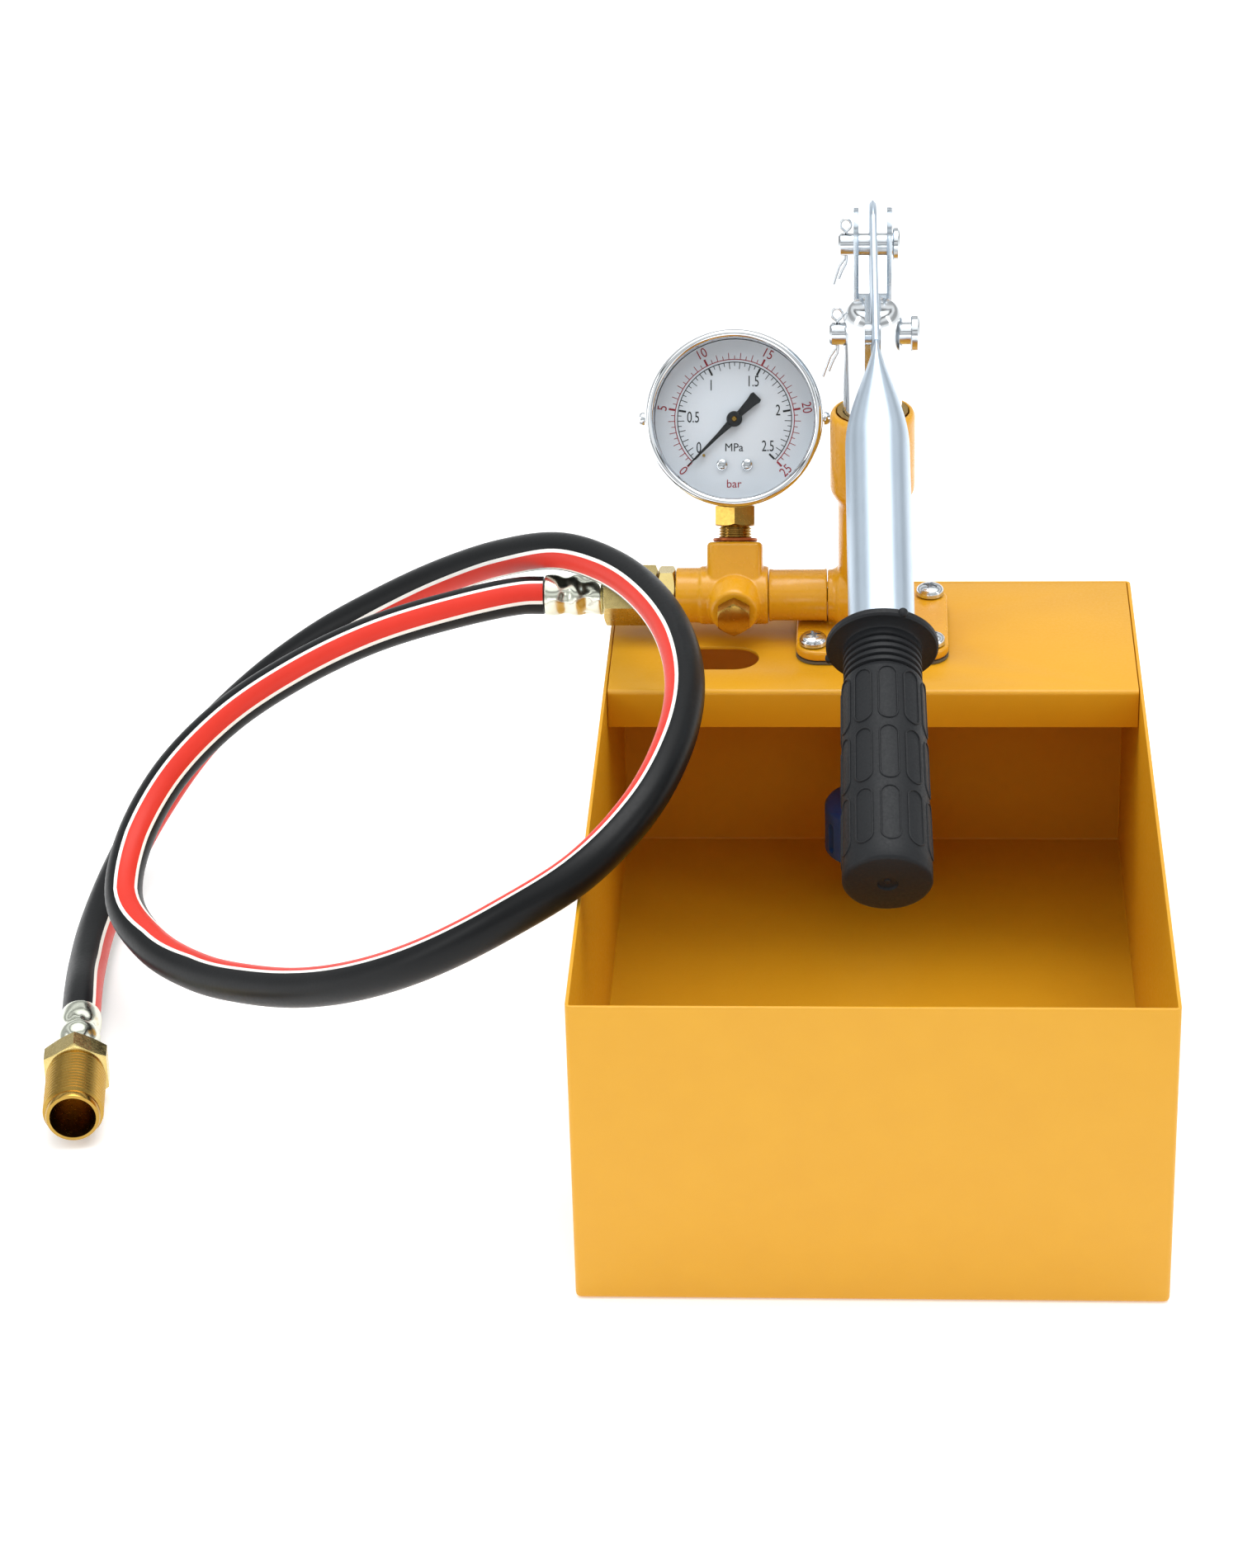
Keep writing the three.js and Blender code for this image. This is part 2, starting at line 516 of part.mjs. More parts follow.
// ---- handle: z in this group runs from the fulcrum to the grip ----
const fulcrum = group(column, 0, fulcrumY, fulcrumH);
part(fulcrum, 'fulcrum_pin', clevisPin(-12.2, LINK.halfWidth + GAP, 5.8, 2.5), ZINC);
part(fulcrum, 'fulcrum_split_pin', splitPin(-12.2, 7), ZINC);
const askew = group(fulcrum, 0, 0, 0, 0, 0, HANDLE_YAW);
const handle = group(askew, 0, 0, 0, 90 + HANDLE.slope);

// The tube's outside: a flat blade that opens into a round tube, as one skin of rings.
function handleSkin() {
  const sides = 24;
  const halfPlate = HANDLE.plate / 2;
  const halfWidth = HANDLE.plateWidth / 2;
  const stations = [[FLATTENED.front - 0.5, halfPlate, halfWidth]];
  for (let step = 1; step <= 5; step += 1) {
    const share = step / 5;
    const eased = Math.sin((share * Math.PI) / 2);
    const z = FLATTENED.front + (FLATTENED.roundFrom - FLATTENED.front) * share;
    const wide = halfWidth + (HANDLE.tubeRadius - halfWidth) * share;
    stations.push([z, halfPlate + (HANDLE.tubeRadius - halfPlate) * eased, wide]);
  }
  stations.push([HANDLE.end, HANDLE.tubeRadius, HANDLE.tubeRadius]);
  const points = [];
  for (const [z, halfX, halfY] of stations) {
    for (let i = 0; i < sides; i += 1) {
      const angle = ((i + 0.5) / sides) * Math.PI * 2;
      points.push(halfX * Math.cos(angle), halfY * Math.sin(angle), z);
    }
  }
  const corners = [];
  const last = stations.length - 1;
  for (let row = 0; row < last; row += 1) {
    for (let i = 0; i < sides; i += 1) {
      const a = row * sides + i;
      const b = row * sides + ((i + 1) % sides);
      corners.push(a, b, b + sides, a, b + sides, a + sides);
    }
  }
  for (let i = 1; i < sides - 1; i += 1) {
    corners.push(0, i + 1, i);
    corners.push(last * sides, last * sides + i, last * sides + i + 1);
  }
  const skin = new THREE.BufferGeometry();
  skin.setAttribute('position', new THREE.Float32BufferAttribute(points, 3));
  skin.setIndex(corners);
  return skin;
}

function handleTube() {
  const halfPlate = HANDLE.plate / 2;
  const halfWidth = HANDLE.plateWidth / 2;
  const blade = block(-halfPlate, halfPlate, -halfWidth, halfWidth, FLATTENED.rear, FLATTENED.front);
  const rearEnd = alongX(rod(halfWidth, -halfPlate, halfPlate, 32)).translate(0, 0, FLATTENED.rear);
  const pinHole = alongX(rod(PIN.hole, -3, 3, 16));
  const ends = [LIFT_SLOT.from, LIFT_SLOT.to];
  const slotEnds = ends.map((z) => alongX(rod(LIFT_SLOT.radius, -3, 3, 16)).translate(0, 0, z));
  const slotMiddle = block(-3, 3, -LIFT_SLOT.radius, LIFT_SLOT.radius, ...ends);
  const bore = rod(HANDLE.bore, FLATTENED.roundFrom + 2, HANDLE.end + 1, 20);
  return cut(join(blade, rearEnd, handleSkin()), pinHole, ...slotEnds, slotMiddle, bore);
}

function rubberGrip() {
  const { start, end, bore, flange, startRadius, endRadius } = GRIP;
  const profile = [[bore, start], [flange, start], [flange, start + 3]];
  for (let ringStart = start + 3.5; ringStart < start + 19; ringStart += 8) {
    profile.push([12.3, ringStart], [12.3, ringStart + 2], [13.4, ringStart + 2.5], [13.4, ringStart + 7.5]);
  }
  profile.push([startRadius, start + 24], [endRadius, end - 12], [endRadius, end - 1.5]);
  profile.push([endRadius - 1.5, end], [0, end], [0, end - 2.6], [bore, end - 2.6], [bore, start]);
  return turned(profile, 20);
}

part(handle, 'handle_tube', handleTube(), ZINC);
part(handle, 'grip', rubberGrip(), GRIP_RUBBER);

export default pump;
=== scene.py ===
import math

import bpy
from mathutils import Matrix, Vector


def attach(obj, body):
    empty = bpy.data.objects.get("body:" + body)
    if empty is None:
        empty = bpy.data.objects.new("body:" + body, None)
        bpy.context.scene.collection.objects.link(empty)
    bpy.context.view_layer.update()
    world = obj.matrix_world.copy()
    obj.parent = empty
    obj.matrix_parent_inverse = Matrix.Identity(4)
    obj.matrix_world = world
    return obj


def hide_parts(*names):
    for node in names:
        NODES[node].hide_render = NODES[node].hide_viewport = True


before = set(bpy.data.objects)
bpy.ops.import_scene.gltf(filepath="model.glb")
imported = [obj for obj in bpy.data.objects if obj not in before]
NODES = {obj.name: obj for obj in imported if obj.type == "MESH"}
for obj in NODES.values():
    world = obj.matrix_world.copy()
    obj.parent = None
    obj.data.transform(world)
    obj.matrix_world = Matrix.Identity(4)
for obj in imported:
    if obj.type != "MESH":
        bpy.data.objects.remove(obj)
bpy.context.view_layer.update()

MM = 0.001

# ---- places: each local frame's Z is the axis that its pieces are turned or extruded along ----
TANK_WIDTH = 190
TANK_LENGTH = 302
SHEET = 1.2
PUMP_Y = 109
COVER_TOP = 110
OUTLET_Z = 124.8
TEE_X = -49.4
GAUGE_LEAN = 27
GAUGE_REACH = 62.8
PLUNGER_PIN_Z = 226
LINK_Z = 172
FULCRUM_Y = 148.586
FULCRUM_Z = 243.791
HANDLE_SLOPE = 24.2
HANDLE_ASKEW = 1.1


def frame_at(x, y, z, *turns):
    """A local frame at a point in mm, turned by (degrees, axis) in order."""
    made = Matrix.Translation(Vector((x, y, z)) * MM)
    for degrees, axis in turns:
        made = made @ Matrix.Rotation(math.radians(degrees), 4, axis)
    return made


COLUMN_AT = frame_at(0, PUMP_Y, COVER_TOP)
OUTLET_AT = frame_at(0, PUMP_Y, OUTLET_Z, (-90, "Y"))
TEE_AT = frame_at(TEE_X, PUMP_Y, OUTLET_Z)
VALVE_AT = frame_at(TEE_X, PUMP_Y, OUTLET_Z, (90, "X"))
STEM_AT = frame_at(TEE_X, PUMP_Y, OUTLET_Z, (-GAUGE_LEAN, "X"))
DIAL_AT = STEM_AT @ frame_at(0, 0, GAUGE_REACH, (90, "X"))
LINK_AT = frame_at(0, FULCRUM_Y, LINK_Z)
PLUNGER_PIN_AT = frame_at(0, PUMP_Y, PLUNGER_PIN_Z)
FULCRUM_AT = frame_at(0, FULCRUM_Y, FULCRUM_Z)
HANDLE_AT = frame_at(0, FULCRUM_Y, FULCRUM_Z, (HANDLE_ASKEW, "Z"), (90 + HANDLE_SLOPE, "X"))
HOSE_END_AT = frame_at(-279.5, -0.6, 12.6, (7, "Z"), (90, "X"))
ALONG_X = frame_at(0, 0, 0, (90, "Y"))

# ---- camera ----
camera_data = bpy.data.cameras.new("camera")
camera_data.sensor_width = 36
camera_data.lens = 96.75
camera = bpy.data.objects.new("camera", camera_data)
bpy.context.collection.objects.link(camera)
CAMERA_TURN = {"yaw": 3.902, "down": 28.477, "roll": -1.79}
camera.matrix_world = (
    Matrix.Translation((-0.0002, -1.2598, 0.7913))
    @ Matrix.Rotation(math.radians(CAMERA_TURN["yaw"]), 4, "Z")
    @ Matrix.Rotation(math.radians(90 - CAMERA_TURN["down"]), 4, "X")
    @ Matrix.Rotation(math.radians(CAMERA_TURN["roll"]), 4, "Z")
)
bpy.context.scene.camera = camera


# ---- modelling ----
def choose(piece):
    """Only this piece is selected and active, in object mode."""
    if bpy.context.mode != "OBJECT":
        bpy.ops.object.mode_set(mode="OBJECT")
    bpy.ops.object.select_all(action="DESELECT")
    if piece is not None:
        piece.select_set(True)
        bpy.context.view_layer.objects.active = piece


def added(name, size=(1, 1, 1)):
    """The primitive that was just added, named and resized, with its place in its mesh."""
    piece = bpy.context.active_object
    piece.name = name
    piece.scale = size
    bpy.ops.object.transform_apply(location=True, rotation=True, scale=True)
    return piece


def apply_modifier(piece, kind, **settings):
    choose(piece)
    modifier = piece.modifiers.new(kind.title(), kind)
    for name, value in settings.items():
        setattr(modifier, name, value)
    bpy.ops.object.modifier_apply(modifier=modifier.name)


def cleaned(piece):
    """Doubles merged and faces turned outwards."""
    choose(piece)
    bpy.ops.object.mode_set(mode="EDIT")
    bpy.ops.mesh.select_all(action="SELECT")
    bpy.ops.mesh.remove_doubles(threshold=0.002 * MM)
    bpy.ops.mesh.normals_make_consistent(inside=False)
    bpy.ops.object.mode_set(mode="OBJECT")
    return piece


def turned(name, rings, sides=64, hollow=False):
    """Rings of (radius, height): a circle extruded and resized from ring to ring. A hollow section ends
    where it starts, and a solid one keeps a cap at each end."""
    choose(None)
    radius, height = rings[0]
    bpy.ops.mesh.primitive_circle_add(
        vertices=sides,
        radius=radius * MM,
        fill_type="NOTHING" if hollow else "NGON",
        location=(0, 0, height * MM),
    )
    piece = added(name)
    bpy.ops.object.mode_set(mode="EDIT")
    bpy.ops.mesh.select_all(action="SELECT")
    for next_radius, next_height in rings[1:]:
        rise = (0, 0, (next_height - height) * MM)
        bpy.ops.mesh.extrude_region_move(TRANSFORM_OT_translate={"value": rise})
        grow = next_radius / radius
        bpy.ops.transform.resize(value=(grow, grow, 1), center_override=(0, 0, next_height * MM))
        radius, height = next_radius, next_height
    return cleaned(piece)


def block(name, low, high, corner=0, axis=2, edge=0):
    """A box from low to high. Its edges along one axis are rounded by corner, then all edges by edge."""
    choose(None)
    middle = [(a + b) / 2 * MM for a, b in zip(low, high)]
    size = [(b - a) * MM for a, b in zip(low, high)]
    bpy.ops.mesh.primitive_cube_add(size=1, location=middle)
    piece = added(name, size)
    if corner:
        round_edges(piece, lambda way, mid: abs(way[axis]) > 0.9, corner, 8)
    if edge:
        apply_modifier(piece, "BEVEL", width=edge * MM, segments=3, angle_limit=math.radians(40))
    return piece


def pick_edges(piece, wanted):
    """Goes into edit mode with the edges selected whose direction and middle (in mm) are wanted."""
    choose(piece)
    bpy.ops.object.mode_set(mode="EDIT")
    bpy.ops.mesh.select_all(action="DESELECT")
    bpy.ops.mesh.select_mode(type="EDGE")
    bpy.ops.object.mode_set(mode="OBJECT")
    for edge in piece.data.edges:
        a, b = (piece.data.vertices[i].co for i in edge.vertices)
        edge.select = wanted((b - a).normalized(), (a + b) / (2 * MM))
    bpy.ops.object.mode_set(mode="EDIT")


def round_edges(piece, wanted, width, segments):
    pick_edges(piece, wanted)
    bpy.ops.mesh.bevel(offset=width * MM, segments=segments, affect="EDGES")
    bpy.ops.object.mode_set(mode="OBJECT")


def combine(piece, others, operation):
    """Joins, cuts or intersects the piece with others, which are used up."""
    for other in others:
        apply_modifier(piece, "BOOLEAN", operation=operation, object=other, solver="EXACT")
        bpy.data.objects.remove(other)
    return piece


def put(piece, where):
    """Moves a piece from its own axis to its place, into its mesh."""
    choose(piece)
    piece.matrix_world = where
    bpy.ops.object.transform_apply(location=True, rotation=True, scale=True)
    return piece


def cast(piece, grain, rounds):
    """The soft edges and filled corners of a casting under thick paint."""
    apply_modifier(piece, "REMESH", mode="VOXEL", voxel_size=grain * MM, adaptivity=0)
    apply_modifier(piece, "SMOOTH", factor=0.5, iterations=rounds)
    return piece


def ready(piece, body, material, stands_for=(), smooth=35):
    """Shading, material and body of a finished piece, which also hides the frame's parts that it stands for.
    """
    choose(piece)
    if smooth:
        bpy.ops.object.shade_smooth_by_angle(angle=math.radians(smooth))
    piece.data.materials.clear()
    piece.data.materials.append(material)
    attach(piece, body)
    if stands_for:
        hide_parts(*stands_for)
    return piece


def copied(piece, name):
    """A second piece with a mesh of its own."""
    twin = piece.copy()
    twin.data = piece.data.copy()
    twin.name = name
    bpy.context.collection.objects.link(twin)
    return twin


def hexagon(name, flats, low, high):
    """A hexagonal bar whose corners are turned off at its ends."""
    choose(None)
    corner = flats / math.sqrt(3)
    bpy.ops.mesh.primitive_cylinder_add(
        vertices=6,
        radius=corner * MM,
        depth=(high - low) * MM,
        location=(0, 0, (low + high) / 2 * MM),
    )
    piece = added(name)
    face = flats * 0.485
    clear = corner + 0.5
    drop = (clear - face) * 0.5
    rim = [(face, low), (clear, low + drop), (clear, high - drop), (face, high)]
    return combine(piece, [turned("chamfer", rim)], "INTERSECT")


def wire(name, points, radius, closed=False, resolution=3):
    """Round wire through lists of points in mm."""
    curve = bpy.data.curves.new(name, "CURVE")
    curve.dimensions = "3D"
    curve.bevel_depth = radius * MM
    curve.bevel_resolution = resolution
    curve.use_fill_caps = not closed
    for line in points:
        spline = curve.splines.new("POLY")
        spline.points.add(len(line) - 1)
        for place, point in zip(spline.points, line):
            place.co = (*(Vector(point) * MM), 1)
        spline.use_cyclic_u = closed
    piece = bpy.data.objects.new(name, curve)
    bpy.context.collection.objects.link(piece)
    choose(piece)
    bpy.ops.object.convert(target="MESH")
    return cleaned(piece)


def smooth_line(points, steps):
    """A centripetal Catmull-Rom line through the points, as the frame's hose follows."""
    line = []
    ends = [2 * points[0] - points[1], *points, 2 * points[-1] - points[-2]]
    for p0, p1, p2, p3 in zip(ends, ends[1:], ends[2:], ends[3:]):
        d0, d1, d2 = (math.sqrt((b - a).length) for a, b in ((p0, p1), (p1, p2), (p2, p3)))
        t1 = ((p1 - p0) / d0 - (p2 - p0) / (d0 + d1) + (p2 - p1) / d1) * d1
        t2 = ((p2 - p1) / d1 - (p3 - p1) / (d1 + d2) + (p3 - p2) / d2) * d1
        for step in range(steps):
            t = step / steps
            line.append(
                p1 + t1 * t + (3 * (p2 - p1) - 2 * t1 - t2) * t**2 + (2 * (p1 - p2) + t1 + t2) * t**3
            )
    return [*line, points[-1]]


# ---- finishes ----
def linear(code):
    """A #RRGGBB colour as the shader's linear colour."""
    values = [int(code[i : i + 2], 16) / 255 for i in (1, 3, 5)]
    return (*(v / 12.92 if v <= 0.04045 else ((v + 0.055) / 1.055) ** 2.4 for v in values), 1)


def add_node(material, kind, settings=None, inputs=None):
    """One node: settings are its own, and an input is a value or (node, output)."""
    node = material.node_tree.nodes.new(kind)
    for name, value in (settings or {}).items():
        setattr(node, name, value)
    for socket, value in (inputs or {}).items():
        if isinstance(value, tuple) and isinstance(value[0], bpy.types.Node):
            material.node_tree.links.new(value[0].outputs[value[1]], node.inputs[socket])
        else:
            node.inputs[socket].default_value = value
    return node


def finish(
    name, colour, shade, patch, rough, metal=0.0, grain=1.0, depth=0.004, stretch=(1, 1, 1), turn=(0, 0, 0)
):
    """A surface whose colour drifts between two shades over patches of patch mm, whose roughness drifts
    with it, and whose relief has a grain of grain mm, depth mm deep. stretch and turn shape the grain."""
    material = bpy.data.materials.new(name)
    material.use_nodes = True
    shader = material.node_tree.nodes["Principled BSDF"]
    links = material.node_tree.links
    shader.inputs["Metallic"].default_value = metal
    place = add_node(material, "ShaderNodeTexCoord")
    axes = add_node(
        material,
        "ShaderNodeMapping",
        inputs={"Vector": (place, "Object"), "Rotation": [math.radians(a) for a in turn], "Scale": stretch},
    )
    cloud = add_node(
        material,
        "ShaderNodeTexNoise",
        inputs={"Vector": (place, "Object"), "Scale": 1 / (patch * MM), "Detail": 3.0},
    )
    tint = add_node(
        material,
        "ShaderNodeMix",
        settings={"data_type": "RGBA"},
        inputs={0: (cloud, 0), 6: linear(colour), 7: linear(shade)},
    )
    relief = add_node(
        material,
        "ShaderNodeTexNoise",
        inputs={"Vector": (axes, 0), "Scale": 1 / (grain * MM), "Detail": 2.0},
    )
    smoothest, roughest = rough
    gloss = add_node(
        material,
        "ShaderNodeMapRange",
        inputs={
            "Value": (relief, 0),
            "From Min": 0.3,
            "From Max": 0.7,
            "To Min": smoothest,
            "To Max": roughest,
        },
    )
    bump = add_node(material, "ShaderNodeBump", inputs={"Height": (relief, 0), "Distance": depth * MM})
    links.new(tint.outputs[2], shader.inputs["Base Color"])
    links.new(gloss.outputs[0], shader.inputs["Roughness"])
    links.new(bump.outputs[0], shader.inputs["Normal"])
    return material


# Powder coat on the sheet metal: satin, with a fine orange peel about a millimetre across.
POWDER_COAT = finish("powder_coat_yellow", "#D99E17", "#D49813", 14, (0.34, 0.46), grain=1.1, depth=0.012)
# The castings wear a thicker, glossier sprayed coat of the same yellow.
CASTING_PAINT = finish("casting_enamel_yellow", "#DFA21B", "#D89815", 9, (0.2, 0.3), grain=3.2, depth=0.03)
# Bright zinc plating: bluish, with faint lines along the drawn tube.
TUBE_ZINC = finish(
    "bright_zinc_drawn_tube", "#CDDAE6", "#C0CEDC", 22, (0.34, 0.4), 1.0,
    grain=0.8, depth=0.0012, stretch=(1, 1, 0.02), turn=(-(90 + HANDLE_SLOPE), 0, 0),
)
PLATED_ZINC = finish("bright_zinc_pressed", "#CED7DF", "#BDC8D2", 8, (0.2, 0.3), 1.0, grain=1.5, depth=0.002)
SCREW_ZINC = finish("zinc_plated_screw", "#DCE0E3", "#C9CED3", 4, (0.16, 0.24), 1.0, grain=1.0, depth=0.001)
# Pale greenish chromate over zinc on the crimped ferrules.
FERRULE_ZINC = finish(
    "zinc_chromate_ferrule", "#E6E8D9", "#D3D7C6", 6, (0.16, 0.26), 1.0, grain=2, depth=0.003
)
# Ground and polished plunger: the grinding leaves rings round the bar.
GROUND_STEEL = finish(
    "ground_steel", "#E4E6E8", "#D5D9DC", 14, (0.12, 0.2), 1.0,
    grain=0.5, depth=0.0006, stretch=(0.02, 0.02, 1),
)
TURNED_BRASS = finish("turned_brass", "#B8954B", "#A5823B", 5, (0.18, 0.28), 1.0, grain=1.2, depth=0.0003)
# Brass that has been passivated: yellower and greener than bare brass.
GREEN_BRASS = finish("passivated_brass", "#DCC98A", "#C9B06A", 6, (0.2, 0.3), 1.0, grain=1.4, depth=0.0003)
COPPER = finish("annealed_copper", "#B9683B", "#9E5530", 4, (0.28, 0.42), 1.0, grain=0.8, depth=0.002)
CHROME = finish("chrome_plate", "#E2E4E6", "#D6D9DC", 20, (0.04, 0.08), 1.0, grain=3.0, depth=0.0005)
DIAL_ENAMEL = finish("dial_enamel_white", "#E9F0F7", "#E1EAF3", 12, (0.42, 0.52), grain=0.8, depth=0.001)
PRINT_BLACK = finish("printed_black", "#14181C", "#1B2024", 3, (0.5, 0.6), grain=0.6, depth=0.0005)
PRINT_RED = finish("printed_red", "#A32B38", "#962634", 3, (0.5, 0.6), grain=0.6, depth=0.0005)
NEEDLE_BLACK = finish("needle_black_enamel", "#0E1114", "#15191C", 4, (0.3, 0.4), grain=0.8, depth=0.001)
# Thermoplastic rubber grip: matt, with a fine moulded grain.
GRIP_RUBBER = finish("moulded_grip_rubber", "#111316", "#17191C", 10, (0.5, 0.62), grain=0.9, depth=0.012)
# Moulded rubber is duller than its refraction alone would make it.
GRIP_RUBBER.node_tree.nodes["Principled BSDF"].inputs["Specular IOR Level"].default_value = 0.28
SEAL_RUBBER = finish("seal_rubber", "#1B1C1E", "#222426", 6, (0.5, 0.65), grain=0.8, depth=0.006)
FIBRE = finish("pressed_fibre", "#6B6350", "#5A5344", 3, (0.8, 0.95), grain=0.8, depth=0.02)
BLUE_PLASTIC = finish("moulded_blue_plastic", "#2C5DB4", "#2551A0", 12, (0.34, 0.46), grain=1.2, depth=0.004)


def glass_finish():
    """Flat window glass, thin enough to leave the dial plain to see."""
    material = bpy.data.materials.new("window_glass")
    material.use_nodes = True
    shader = material.node_tree.nodes["Principled BSDF"]
    shader.inputs["Base Color"].default_value = linear("#0A0E10")
    shader.inputs["IOR"].default_value = 1.5
    shader.inputs["Alpha"].default_value = 0.07
    place = add_node(material, "ShaderNodeTexCoord")
    film = add_node(
        material, "ShaderNodeTexNoise", inputs={"Vector": (place, "Object"), "Scale": 1 / (15 * MM)}
    )
    gloss = add_node(
        material, "ShaderNodeMapRange", inputs={"Value": (film, 0), "To Min": 0.01, "To Max": 0.06}
    )
    material.node_tree.links.new(gloss.outputs[0], shader.inputs["Roughness"])
    return material


# Shares of the way round the hose that the red stripe and each white line take up.
STRIPE_SHARE = 0.155
LINE_SHARE = 0.03


def hose_finish():
    """Extruded rubber hose: black cover with a red stripe between two white lines, set in UV, where U
    goes once round the hose and V along it in metres."""
    material = bpy.data.materials.new("extruded_hose_rubber")
    material.use_nodes = True
    shader = material.node_tree.nodes["Principled BSDF"]
    shader.inputs["Specular IOR Level"].default_value = 0.2
    links = material.node_tree.links
    place = add_node(material, "ShaderNodeTexCoord")
    axes = add_node(material, "ShaderNodeSeparateXYZ", inputs={0: (place, "UV")})
    off = add_node(
        material, "ShaderNodeMath", settings={"operation": "SUBTRACT"}, inputs={0: (axes, 0), 1: 0.5}
    )
    side = add_node(material, "ShaderNodeMath", settings={"operation": "ABSOLUTE"}, inputs={0: (off, 0)})
    in_red, in_white = (
        add_node(
            material, "ShaderNodeMath", settings={"operation": "LESS_THAN"}, inputs={0: (side, 0), 1: reach}
        )
        for reach in (STRIPE_SHARE / 2, STRIPE_SHARE / 2 + LINE_SHARE)
    )
    skin = add_node(
        material,
        "ShaderNodeTexNoise",
        inputs={"Vector": (place, "Object"), "Scale": 1 / (1.3 * MM), "Detail": 3.0},
    )
    soil = add_node(
        material,
        "ShaderNodeTexNoise",
        inputs={"Vector": (place, "Object"), "Scale": 1 / (22 * MM), "Detail": 4.0},
    )
    black = add_node(
        material,
        "ShaderNodeMix",
        settings={"data_type": "RGBA"},
        inputs={0: (soil, 0), 6: linear("#07080A"), 7: linear("#0E1012")},
    )
    red = add_node(
        material,
        "ShaderNodeMix",
        settings={"data_type": "RGBA"},
        inputs={0: (soil, 0), 6: linear("#DC3A2C"), 7: linear("#C93226")},
    )
    lined = add_node(
        material,
        "ShaderNodeMix",
        settings={"data_type": "RGBA"},
        inputs={0: (in_white, 0), 6: (black, 2), 7: linear("#F1EFEA")},
    )
    striped = add_node(
        material,
        "ShaderNodeMix",
        settings={"data_type": "RGBA"},
        inputs={0: (in_red, 0), 6: (lined, 2), 7: (red, 2)},
    )
    gloss = add_node(
        material, "ShaderNodeMapRange", inputs={"Value": (skin, 0), "To Min": 0.3, "To Max": 0.46}
    )
    bump = add_node(
        material, "ShaderNodeBump", inputs={"Height": (skin, 0), "Distance": 0.02 * MM}
    )
    links.new(striped.outputs[2], shader.inputs["Base Color"])
    links.new(gloss.outputs[0], shader.inputs["Roughness"])
    links.new(bump.outputs[0], shader.inputs["Normal"])
    return material


WINDOW_GLASS = glass_finish()
HOSE_RUBBER = hose_finish()

# ---- hose: its route settles how far the object spreads ----
HOSE_RADIUS = 6.85
HOSE_SIDES = 36
HOSE_STEPS = 8
HOSE_ROUTE = [
    (-118.6, 109, 124.8), (-127, 109, 124.6), (-150, 109, 119.5), (-182, 109, 109), (-211, 107, 95),
    (-237, 101, 79), (-257, 88, 62), (-268, 65, 47), (-268, 38, 38), (-254, 10, 36), (-234, -15, 40),
    (-212, -38, 49), (-190, -58, 60), (-167, -75, 74), (-143, -87, 90), (-118, -90, 106),
    (-94, -82, 119), (-76, -60, 129.5), (-66, -31, 137), (-63, 1, 142), (-67, 32, 145),
    (-77, 62, 146), (-92, 89, 145), (-112, 112, 141), (-135, 132, 129), (-159, 147, 114),
    (-184, 158, 97), (-210, 164, 79), (-235, 162, 60), (-257, 151, 41), (-273, 129, 24),
    (-282, 101, 13), (-285.5, 69, 8), (-284.3, 40, 8.8), (-281.7, 17, 11.9), (-280.4, 6.9, 12.6),
    (-279.5, -0.6, 12.6),
]
# Degrees that the stripe is turned from the front of the hose towards the inside of its loop, at route
# points given by their number.
STRIPE_TURN = [
    (0, -8), (5, 0), (7, 4), (8, 16), (9, 52), (10, 76), (12, 90), (16, 92), (18, 76), (20, 56), (22, 42),
    (26, 44), (29, 56), (32, 66), (34.5, 78),
]
FRONT = Vector((0.118, -0.870, 0.479))


def stripe_angle(number):
    """The stripe's turn in radians at a route point, or between two of them."""
    for (a, low), (b, high) in zip(STRIPE_TURN, STRIPE_TURN[1:]):
        if number <= b:
            share = (number - a) / (b - a)
            return math.radians(low + (high - low) * share)
    return math.radians(STRIPE_TURN[-1][1])


def make_hose():
    path = smooth_line([Vector(p) * MM for p in HOSE_ROUTE], HOSE_STEPS)
    vertices = []
    along = [0.0]
    for i, point in enumerate(path):
        way = (path[min(i + 1, len(path) - 1)] - path[max(i - 1, 0)]).normalized()
        facing = (FRONT - FRONT.dot(way) * way).normalized()
        inside = facing.cross(way)
        turn = stripe_angle(i / HOSE_STEPS)
        stripe = facing * math.cos(turn) + inside * math.sin(turn)
        across = way.cross(stripe)
        for k in range(HOSE_SIDES):
            angle = (k / HOSE_SIDES - 0.5) * 2 * math.pi
            vertices.append(point + (stripe * math.cos(angle) + across * math.sin(angle)) * HOSE_RADIUS * MM)
        if i:
            along.append(along[-1] + (point - path[i - 1]).length)
    faces = []
    for i in range(len(path) - 1):
        for k in range(HOSE_SIDES):
            after = (k + 1) % HOSE_SIDES
            here, there = i * HOSE_SIDES, (i + 1) * HOSE_SIDES
            faces.append((here + k, here + after, there + after, there + k))
    faces.append(tuple(reversed(range(HOSE_SIDES))))
    faces.append(tuple(range((len(path) - 1) * HOSE_SIDES, len(path) * HOSE_SIDES)))
    mesh = bpy.data.meshes.new("hose_line")
    mesh.from_pydata(vertices, [], faces)
    layer = mesh.uv_layers.new(name="around_and_along")
    for face in mesh.polygons:
        for loop in face.loop_indices:
            vertex = mesh.loops[loop].vertex_index
            u = vertex % HOSE_SIDES / HOSE_SIDES
            closing = len(face.vertices) == 4 and u == 0 and face.index % HOSE_SIDES == HOSE_SIDES - 1
            layer.data[loop].uv = (1.0 if closing else u, along[vertex // HOSE_SIDES])
    piece = bpy.data.objects.new("hose_line", mesh)
    bpy.context.collection.objects.link(piece)
    ready(piece, "base", HOSE_RUBBER, ["hose"])
    return piece, path


hose, hose_path = make_hose()


